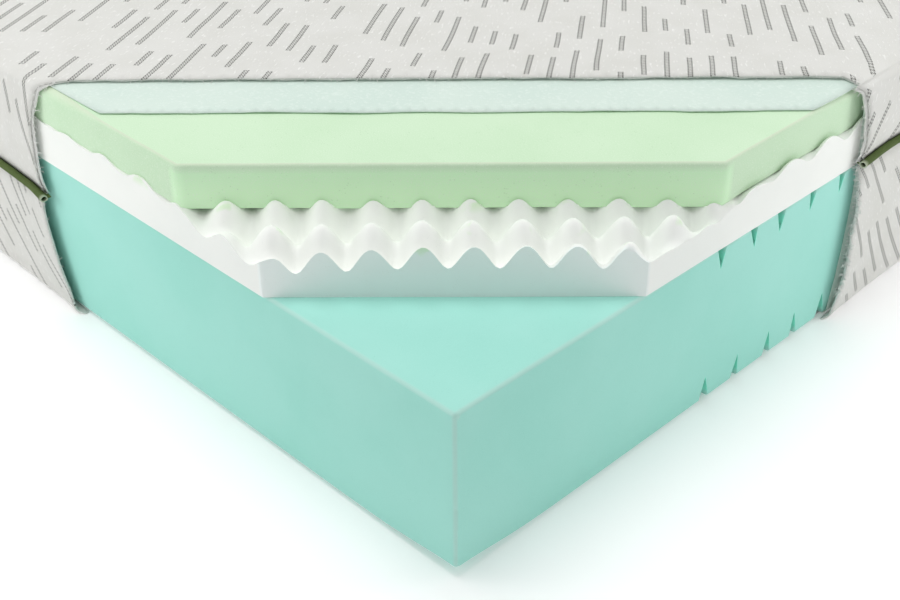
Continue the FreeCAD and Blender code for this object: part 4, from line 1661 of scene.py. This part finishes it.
def frayTree(material):
    # short curled threads, set at even steps along the cut and turned at random
    number, whole = "NodeSocketFloat", "NodeSocketInt"
    labels = {"Spacing": number, "Length": number, "Radius": number, "Heading": number,
              "Spread": number, "Seed": whole}
    tree, wires, ids = geometryTree("cutThreads", labels)
    n = Nodes(tree)
    curve = n.add("GeometryNodeMeshToCurve", None, {"Mesh": wires["Geometry"]})
    sampled = n.add("GeometryNodeResampleCurve", {"mode": "LENGTH"},
                    {"Curve": curve, "Length": wires["Spacing"]})
    end = n.joined(wires["Length"], 0.0, 0.0)
    bend = n.joined(wires["Length"] * 0.5, wires["Length"] * 0.35, wires["Length"] * 0.25)
    strand = n.add("GeometryNodeCurveQuadraticBezier", None,
                   {"Resolution": 4, "Start": (0.0, 0.0, 0.0), "Middle": bend, "End": end})
    profile = n.add("GeometryNodeCurvePrimitiveCircle", {"mode": "RADIUS"},
                    {"Resolution": 3, "Radius": wires["Radius"]})
    tube = n.add("GeometryNodeCurveToMesh", None,
                 {"Curve": strand, "Profile Curve": profile, "Fill Caps": True})
    low = n.joined(-3.0, wires["Spread"] * -0.7, wires["Heading"] - wires["Spread"])
    high = n.joined(3.0, wires["Spread"] * 0.7, wires["Heading"] + wires["Spread"])
    turn = n.add("FunctionNodeRandomValue", {"data_type": "FLOAT_VECTOR"},
                 {"Min": low, "Max": high, "Seed": wires["Seed"]})
    size = n.add("FunctionNodeRandomValue", {"data_type": "FLOAT"},
                 {2: 0.25, 3: 1.25, "Seed": wires["Seed"]}, 1)
    threads = n.add("GeometryNodeInstanceOnPoints", None,
                    {"Points": sampled, "Instance": tube, "Rotation": turn, "Scale": size})
    finishTree(tree, threads, material)
    return tree, ids


def makeFray(name, lines, heading, spacing, seed, spread=1.1, scale=1.0):
    piece = newPiece(name, lineMesh(name, lines), wadding)
    tree, ids = frayTree(wadding)
    values = {
        "Spacing": spacing,
        "Length": fray["length"] * scale,
        "Radius": fray["radius"],
        "Heading": heading,
        "Spread": spread,
        "Seed": seed,
    }
    grow(piece, tree, ids, values)
    return piece


def cutAcrossTop():
    inset = cover["edge"] + cover["lip"]
    hx, hy = halfWidth - inset, halfLength - inset
    leg = cover["leg"]
    line = []
    for share in np.linspace(0, 1, 160):
        start = Vector((hx, nearCorner.y + leg - (nearCorner.x - hx), coverHigh.z - 0.0008))
        end = Vector((nearCorner.x - leg + (-hy - nearCorner.y), -hy, coverHigh.z - 0.0008))
        line.append(settle(start.lerp(end, float(share)), leg))
    return line


diagonal = -math.pi / 4
rightEdge, footEdge = rightEdge[rightEdge[:, 2] > 0.009], footEdge[footEdge[:, 2] > 0.009]
rightLines = [knitEdges["right"], waddingEdges["right"], rightEdge]
footLines = [knitEdges["foot"], waddingEdges["foot"], footEdge]
frays = [
    makeFray("frayTop", [cutAcrossTop()], diagonal, 0.0035, 5, 1.0, 0.7),
    makeFray("frayRight", rightLines[:2], -math.pi / 2, 0.0015, 6, 1.2, 0.8),
    makeFray("frayRightLow", rightLines[2:], -math.pi / 2, 0.00045, 8, 1.2, 1.1),
    makeFray("frayFoot", footLines, 0.0, 0.0014, 7, 1.0, 0.8),
]
print("cut threads ready")


# zip along the lower border at the head end
zipper = {
    "axisHeight": (zipLow + zipHigh) / 2,
    "pitch": 0.0016,
    "toothLength": 0.0034,
    "toothRadius": 0.00052,
    "overlap": 0.0004,
    "stitchPitch": 0.0042,
    "stitchLength": 0.0031,
    "stitchRadius": 0.00038,
}
teethLow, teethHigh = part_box("zip_teeth_upper")
sliderLow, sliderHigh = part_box("zip_slider")
pullLow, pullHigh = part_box("zip_pull")


def makeTape(name, node, side):
    # woven tape with a cord along its inner edge; its outer edge is tucked behind the border
    low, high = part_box(node)
    near = low.z if side > 0 else high.z
    far = (high.z if side > 0 else low.z) + side * 0.0035
    rows = [(near, low.y + 0.0003), (near + side * 0.0004, high.y + 0.0002), (near + side * 0.0022, high.y)]
    rows += [(near + side * 0.006, high.y - 0.0002), (near + side * 0.0095, high.y - 0.0012)]
    rows += [(far - side * 0.001, halfLength - 0.0032), (far, halfLength - 0.0034)]
    cloth = Cloth()
    xs = np.linspace(high.x + 0.004, low.x - 0.004, 420)
    points, places = [], []
    for x in xs:
        sway = 0.0003 * ripple(x, 0, near, 0.03, 3.0)
        points.append([(x, y + sway, z) for z, y in rows])
        places.append([(x, z) for z, y in rows])
    cloth.grid(np.array(points), np.array(places))
    piece = cloth.sewn(name, tapeCloth, 0.0007)
    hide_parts(node)
    return piece


def rowTree(name, inputs, build, material):
    # one small part repeated at even steps along a line, turned to follow it
    tree, wires, ids = geometryTree(name, dict.fromkeys(("Step", *inputs), "NodeSocketFloat"))
    n = Nodes(tree)
    curve = n.add("GeometryNodeMeshToCurve", None, {"Mesh": wires["Geometry"]})
    sampled = n.add("GeometryNodeResampleCurve", {"mode": "LENGTH"},
                    {"Curve": curve, "Length": wires["Step"]})
    tangent = n.add("GeometryNodeInputTangent")
    turn = n.add("FunctionNodeAlignRotationToVector", {"axis": "X"}, {"Vector": tangent})
    part = build(n, wires)
    row = n.add("GeometryNodeInstanceOnPoints", None,
                {"Points": sampled, "Instance": part, "Rotation": turn})
    finishTree(tree, row, material)
    return tree, ids


def stretchedBall(n, rings, size, place=(0.0, 0.0, 0.0)):
    ball = n.add("GeometryNodeMeshUVSphere", None, {"Segments": 6, "Rings": rings, "Radius": 1.0})
    return n.add("GeometryNodeTransform", None,
                 {"Geometry": ball, "Translation": place, "Scale": size})


def stitchPart(n, wires):
    # a thread's visible loop, plump in its middle
    size = n.joined(wires["Length"] * 0.5, wires["Radius"], wires["Radius"])
    return stretchedBall(n, 5, size)


def toothPart(n, wires):
    # one turn of the moulded coil: a short bar with a wider head where the two rows meet
    size = n.joined(wires["Radius"], wires["Radius"] * 1.7, wires["Length"] * 0.5)
    arm = stretchedBall(n, 6, size)
    headSize = n.joined(wires["Radius"] * 1.3, wires["Radius"] * 1.9, wires["Radius"] * 1.1)
    place = n.joined(0.0, 0.0, wires["Length"] * wires["Side"] * -0.42)
    tip = stretchedBall(n, 4, headSize, place)
    joined = n.add("GeometryNodeJoinGeometry")
    node = joined.socket.node
    for wire in (arm, tip):
        n.tree.links.new(wire.socket, node.inputs[0])
    return joined


def makeRow(name, line, tree, ids, values, material, body="mattress"):
    piece = newPiece(name, lineMesh(name, [line]), material, body)
    return grow(piece, tree, ids, values)


def makeTeeth():
    tree, ids = rowTree("zipTeethRow", ("Length", "Radius", "Side"), toothPart, teethNylon)
    rows = (("zipTeethUpper", "zip_teeth_upper", 1), ("zipTeethLower", "zip_teeth_lower", -1))
    for name, node, side in rows:
        low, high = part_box(node)
        half = zipper["toothLength"] / 2 - zipper["overlap"]
        z = zipper["axisHeight"] + side * half
        y = (low.y + high.y) / 2
        start = low.x + zipper["pitch"] * (0.5 if side > 0 else 1.0)
        line = [(start, y, z), (high.x - zipper["pitch"] * (0.5 if side < 0 else 0.0), y, z)]
        values = {"Step": zipper["pitch"], "Length": zipper["toothLength"],
                  "Radius": zipper["toothRadius"], "Side": float(side)}
        piece = makeRow(name, line, tree, ids, values, teethNylon)
        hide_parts(node)


def makeStitches():
    # stitching beside the zip and round the bottom panel
    tree, ids = rowTree("stitchRow", ("Length", "Radius"), stitchPart, threadTwist)
    values = {"Step": zipper["stitchPitch"], "Length": zipper["stitchLength"],
              "Radius": zipper["stitchRadius"]}
    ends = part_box("zip_tape_upper")
    face = halfLength + 0.0001
    lines = {}
    for name, z in (("zipStitchUpper", zipHigh + 0.0028), ("zipStitchLower", zipLow - 0.0028)):
        whole = min(max((z - border["edge"]) / (seam["height"] - border["edge"]), 0.0), 1.0)
        y = face + border["bulge"] * math.sin(math.pi * whole)
        lines[name] = [(ends[0].x, y, z), (ends[1].x, y, z)]
    for name, x in (("zipBarLeft", ends[0].x - 0.0022), ("zipBarRight", ends[1].x + 0.0022)):
        y = face + border["bulge"] * 0.35
        lines[name] = [(x, y, zipLow - 0.0025), (x, y + 0.0002, zipHigh + 0.0025)]
    inset = border["inset"] + 0.0016
    x, y = halfWidth - inset, halfLength - inset
    leg = openedLeg("bottom_panel")
    cutX = nearCorner.x - leg + (nearCorner.y + y)
    cutY = nearCorner.y + leg - (nearCorner.x - x)
    corners = [(x, cutY + 0.02), (x, y), (-x, y), (-x, -y), (cutX - 0.02, -y)]
    lines["bottomStitch"] = [(px, py, 0.0002) for px, py in corners]
    pieces = []
    for name, line in lines.items():
        piece = makeRow(name, line, tree, ids, values, threadTwist)
        pieces.append(piece)
    return pieces


def platePart(bm, loops, near, far):
    # a flat part from its outline and holes in (x, z), between two depths
    edges = []
    for loop in loops:
        verts = [bm.verts.new((x, near, z)) for x, z in loop]
        edges += [bm.edges.new((verts[i], verts[(i + 1) % len(verts)])) for i in range(len(verts))]
    made = bmesh.ops.triangle_fill(bm, edges=edges, use_beauty=True)
    faces = [g for g in made["geom"] if isinstance(g, bmesh.types.BMFace)]
    raised = bmesh.ops.extrude_face_region(bm, geom=faces)["geom"]
    verts = [g for g in raised if isinstance(g, bmesh.types.BMVert)]
    bmesh.ops.translate(bm, verts=verts, vec=(0, far - near, 0))


def barPart(bm, start, end, radius, sides=12):
    start, end = Vector(start), Vector(end)
    turn = (end - start).to_track_quat("Z", "Y").to_matrix().to_4x4()
    matrix = Matrix.Translation((start + end) / 2) @ turn
    bmesh.ops.create_cone(bm, cap_ends=True, segments=sides, radius1=radius, radius2=radius,
                          depth=(end - start).length, matrix=matrix)


def roundedLoop(x0, x1, z0, z1, radius, steps=5):
    loop = []
    for cx, cz, turn in ((x1 - radius, z1 - radius, 0), (x0 + radius, z1 - radius, 1),
                         (x0 + radius, z0 + radius, 2), (x1 - radius, z0 + radius, 3)):
        for i in range(steps + 1):
            a = (turn + i / steps) * math.pi / 2
            loop.append((cx + radius * math.cos(a), cz + radius * math.sin(a)))
    return loop


def metalPiece(name, bm, body, nodes, bevel=0.00025):
    bmesh.ops.recalc_face_normals(bm, faces=bm.faces)
    mesh = bpy.data.meshes.new(name)
    bm.to_mesh(mesh)
    bm.free()
    piece = newPiece(name, mesh, nickel, body, False)
    edge = piece.modifiers.new("edges", "BEVEL")
    edge.width = bevel
    edge.segments = 2
    edge.limit_method = "ANGLE"
    edge.angle_limit = math.radians(35)
    applied(piece, name)
    piece.data.polygons.foreach_set("use_smooth", [True] * len(piece.data.polygons))
    sharpen(piece, 40)
    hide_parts(*nodes)
    return piece


def makeSlider():
    # two shield-shaped wings on a wedge, their edges turned in, and the bridge for the pull
    bm = bmesh.new()
    mid = zipper["axisHeight"]
    x0, x1 = sliderLow.x, sliderHigh.x
    half = (sliderHigh.z - sliderLow.z) / 2
    nose = 0.62 * half
    upper = [(x1 - 0.0004, nose), (x1 - 0.004, half), (x0 + 0.002, half * 0.86), (x0, half * 0.7)]
    wing = [(x, mid + z) for x, z in upper] + [(x, mid - z) for x, z in reversed(upper)]
    back, front = sliderLow.y, sliderLow.y + 0.0064
    platePart(bm, [wing], back, back + 0.0009)
    platePart(bm, [wing], front - 0.0011, front)
    platePart(bm, [roundedLoop(x1 - 0.0035, x1 - 0.0008, mid - 0.0012, mid + 0.0012, 0.0008)],
              back + 0.0006, front - 0.0006)
    for side in (-1, 1):
        tail, shoulder, rib = half * 0.86, x1 - 0.0045, 0.0008
        edge = [(x0 + 0.0006, mid + side * tail), (shoulder, mid + side * half),
                (shoulder, mid + side * (half - rib)), (x0 + 0.0006, mid + side * (tail - rib))]
        if side > 0:
            edge.reverse()
        platePart(bm, [edge], front - 0.0026, front - 0.0009)
        platePart(bm, [edge], back + 0.0007, back + 0.0018)
    # the bridge: a low arch from the tail to the nose, wide enough for the pull's bar
    high = sliderHigh.y
    arch = [(x0 + 0.0012, front - 0.0003), (x0 + 0.0016, high - 0.0012), (x0 + 0.0032, high - 0.0002),
            (x1 - 0.0036, high), (x1 - 0.002, high - 0.001), (x1 - 0.0016, front - 0.0003)]
    thick, broad = 0.0008, 0.0014
    rings = []
    for i, (x, y) in enumerate(arch):
        before, after = Vector(arch[max(i - 1, 0)]), Vector(arch[min(i + 1, len(arch) - 1)])
        along = (after - before).normalized()
        inX, inY = x + along.y * thick, y - along.x * thick
        section = ((x, y, mid - broad), (x, y, mid + broad),
                   (inX, inY, mid + broad), (inX, inY, mid - broad))
        rings.append([bm.verts.new(p) for p in section])
    for a, b in zip(rings, rings[1:]):
        for i in range(4):
            bm.faces.new((a[i], a[(i + 1) % 4], b[(i + 1) % 4], b[i]))
    bm.faces.new(rings[0])
    bm.faces.new(rings[-1][::-1])
    return metalPiece("zipSlider", bm, "slider", ["zip_slider"], 0.0002)


def makePull():
    # a tab with an eye: two arms hold a round bar under the bridge, and a ribbed grip
    bm = bmesh.new()
    mid = zipper["axisHeight"]
    axisX = pullHigh.x - 0.0007
    near, far = pullLow.y, pullHigh.y
    x0 = pullLow.x
    half = (pullHigh.z - pullLow.z) / 2
    arm = 0.0011  # width of the two arms beside the eye
    outline = roundedLoop(x0, axisX - 0.0003, mid - half, mid + half, 0.0022)
    eye = roundedLoop(axisX - 0.0068, axisX - 0.0008, mid - half + arm, mid + half - arm, 0.0008)
    hole = roundedLoop(x0 + 0.0024, x0 + 0.0072, mid - 0.0011, mid + 0.0011, 0.00105)
    platePart(bm, [outline, eye, hole], near + 0.0001, far - 0.0001)
    depth, reach = (near + far) / 2, half - 0.0002
    barPart(bm, (axisX, depth, mid - reach), (axisX, depth, mid + reach), 0.0007)
    for i in range(5):
        x = x0 + 0.0098 + i * 0.0019
        rib = roundedLoop(x, x + 0.0008, mid - half * 0.7, mid + half * 0.7, 0.00035, 3)
        platePart(bm, [rib], near, far + 0.00005)
    return metalPiece("zipPull", bm, "pull", ["zip_pull"], 0.00018)


def makeStops():
    for name, node in (("zipStopOpen", "zip_stop_open"), ("zipStopClosed", "zip_stop_closed")):
        low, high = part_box(node)
        bm = bmesh.new()
        platePart(bm, [roundedLoop(low.x, high.x, low.z, high.z, 0.0009)], low.y, low.y + 0.0012)
        for share in (0.25, 0.5, 0.75):
            x = low.x + (high.x - low.x) * share
            y = low.y + 0.0012
            barPart(bm, (x, y, low.z + 0.0006), (x, y, high.z - 0.0006), 0.0007, 8)
        metalPiece(name, bm, "mattress", [node], 0.0002)


tapes = [makeTape("zipTapeUpper", "zip_tape_upper", 1), makeTape("zipTapeLower", "zip_tape_lower", -1)]
makeTeeth()
stitches = makeStitches()
makeStops()
makeSlider()
makePull()
print("zip and stitching ready")


# areas of the cloth pieces, worked out and not passed on
def declareSoft():
    low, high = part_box("cover_top_knit")
    width, length = high.x - low.x, high.y - low.y
    opened = cover["leg"] ** 2 / 2
    drop = high.z - seam["height"]
    capArea = width * length + 2 * drop * (width + length) - opened - 2 * cover["leg"] * drop
    for piece, extras in ((knitCap, frays), (waddingCap, [])):
        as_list(extras)
    sideCut = 0.66  # along each side from the opened corner
    around = 2 * (width + length - sideCut)
    sockArea = 2 * width * length + around * coverHigh.z - opened * 1.7
    strip = seam["height"] + border["inset"]
    runs = {"foot": width - cover["leg"], "right": length - cover["leg"], "left": length}
    upper, lower = seam["height"] - zipHigh, zipLow + border["inset"]
    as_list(stitches[:4])
    endSize = (zipHigh - zipLow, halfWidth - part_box("zip_tape_upper")[1].x)
    panel = (width - 2 * border["inset"], length - 2 * border["inset"])
    panelArea = panel[0] * panel[1] - openedLeg("bottom_panel") ** 2 / 2
    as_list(stitches[4:])


declareSoft()


# stage
studio = {
    "lens": 56.6,
    "pitch": math.radians(34.07),
    "yaw": math.radians(45.77),
    "roll": math.radians(-0.6),
    "fromCorner": (0.6972, -0.6828, 0.9806),  # camera from the base's near bottom corner
    "world": 0.42,
    "key": 55,
    "leftFill": 3,
    "rightFill": 4,
    "backFill": 34,
    "floorGlow": 0.16,
}


def makeCamera():
    pitch, yaw, roll = studio["pitch"], studio["yaw"], studio["roll"]
    forward = Vector((-math.sin(yaw) * math.cos(pitch), math.cos(yaw) * math.cos(pitch), -math.sin(pitch)))
    right = Vector((math.cos(yaw), math.sin(yaw), 0))
    up = right.cross(forward)
    across = math.cos(roll) * right + math.sin(roll) * up
    upright = math.cos(roll) * up - math.sin(roll) * right
    data = bpy.data.cameras.new("camera")
    data.lens = studio["lens"]
    data.sensor_width = 36.0
    data.clip_end = 100.0
    camera = bpy.data.objects.new("camera", data)
    rotation = Matrix((across, upright, -forward)).transposed()
    camera.matrix_world = Matrix.Translation(nearCorner + Vector(studio["fromCorner"])) @ rotation.to_4x4()
    bpy.context.scene.collection.objects.link(camera)
    bpy.context.scene.camera = camera


def areaLight(name, place, aim, size, power, colour=(1, 1, 1)):
    data = bpy.data.lights.new(name, "AREA")
    data.shape = "DISK"
    data.size = size
    data.energy = power
    data.color = colour
    light = bpy.data.objects.new(name, data)
    light.visible_camera = False
    light.location = place
    light.rotation_euler = (Vector(aim) - Vector(place)).to_track_quat("-Z", "Y").to_euler()
    bpy.context.scene.collection.objects.link(light)


def makeStage():
    world = bpy.data.worlds.new("studioWhite")
    world.use_nodes = True
    background = world.node_tree.nodes["Background"]
    background.inputs["Color"].default_value = (1.0, 1.0, 1.0, 1.0)
    background.inputs["Strength"].default_value = studio["world"]
    bpy.context.scene.world = world
    material, n = newMaterial("paleFloor")
    place = n.onPiece()
    mottle = n.mottle(place, 0.6, 2.0)
    colour = n.blend(mottle, (0.93, 0.93, 0.93, 1.0), (0.95, 0.95, 0.95, 1.0))
    glow = {"Emission Color": (1.0, 1.0, 1.0, 1.0), "Emission Strength": studio["floorGlow"]}
    finishMaterial(n, colour, 0.9, (), **{"Specular IOR Level": 0.1}, **glow)
    size = 14.0
    corners = [(-size, -size, 0), (size, -size, 0), (size, size, 0), (-size, size, 0)]
    mesh = meshFrom("floor", corners, [(0, 1, 2, 3)])
    mesh.materials.append(material)
    floor = bpy.data.objects.new("floor", mesh)
    bpy.context.scene.collection.objects.link(floor)
    areaLight("keySoftbox", (0.0, -0.9, 3.2), (0.1, -0.5, 0.2), 2.6, studio["key"])
    areaLight("leftFill", (-0.3, -1.8, 0.6), (-0.1, -1.0, 0.15), 0.7, studio["leftFill"])
    areaLight("rightFill", (1.5, 0.2, 0.6), (0.76, 0.0, 0.15), 0.7, studio["rightFill"])
    areaLight("backFill", (-0.6, 3.4, 1.9), (0.0, 1.0, 0.1), 2.0, studio["backFill"])
    scene = bpy.context.scene
    scene.view_settings.view_transform = "Standard"
    scene.view_settings.look = "None"


makeCamera()
makeStage()
print("stage ready")
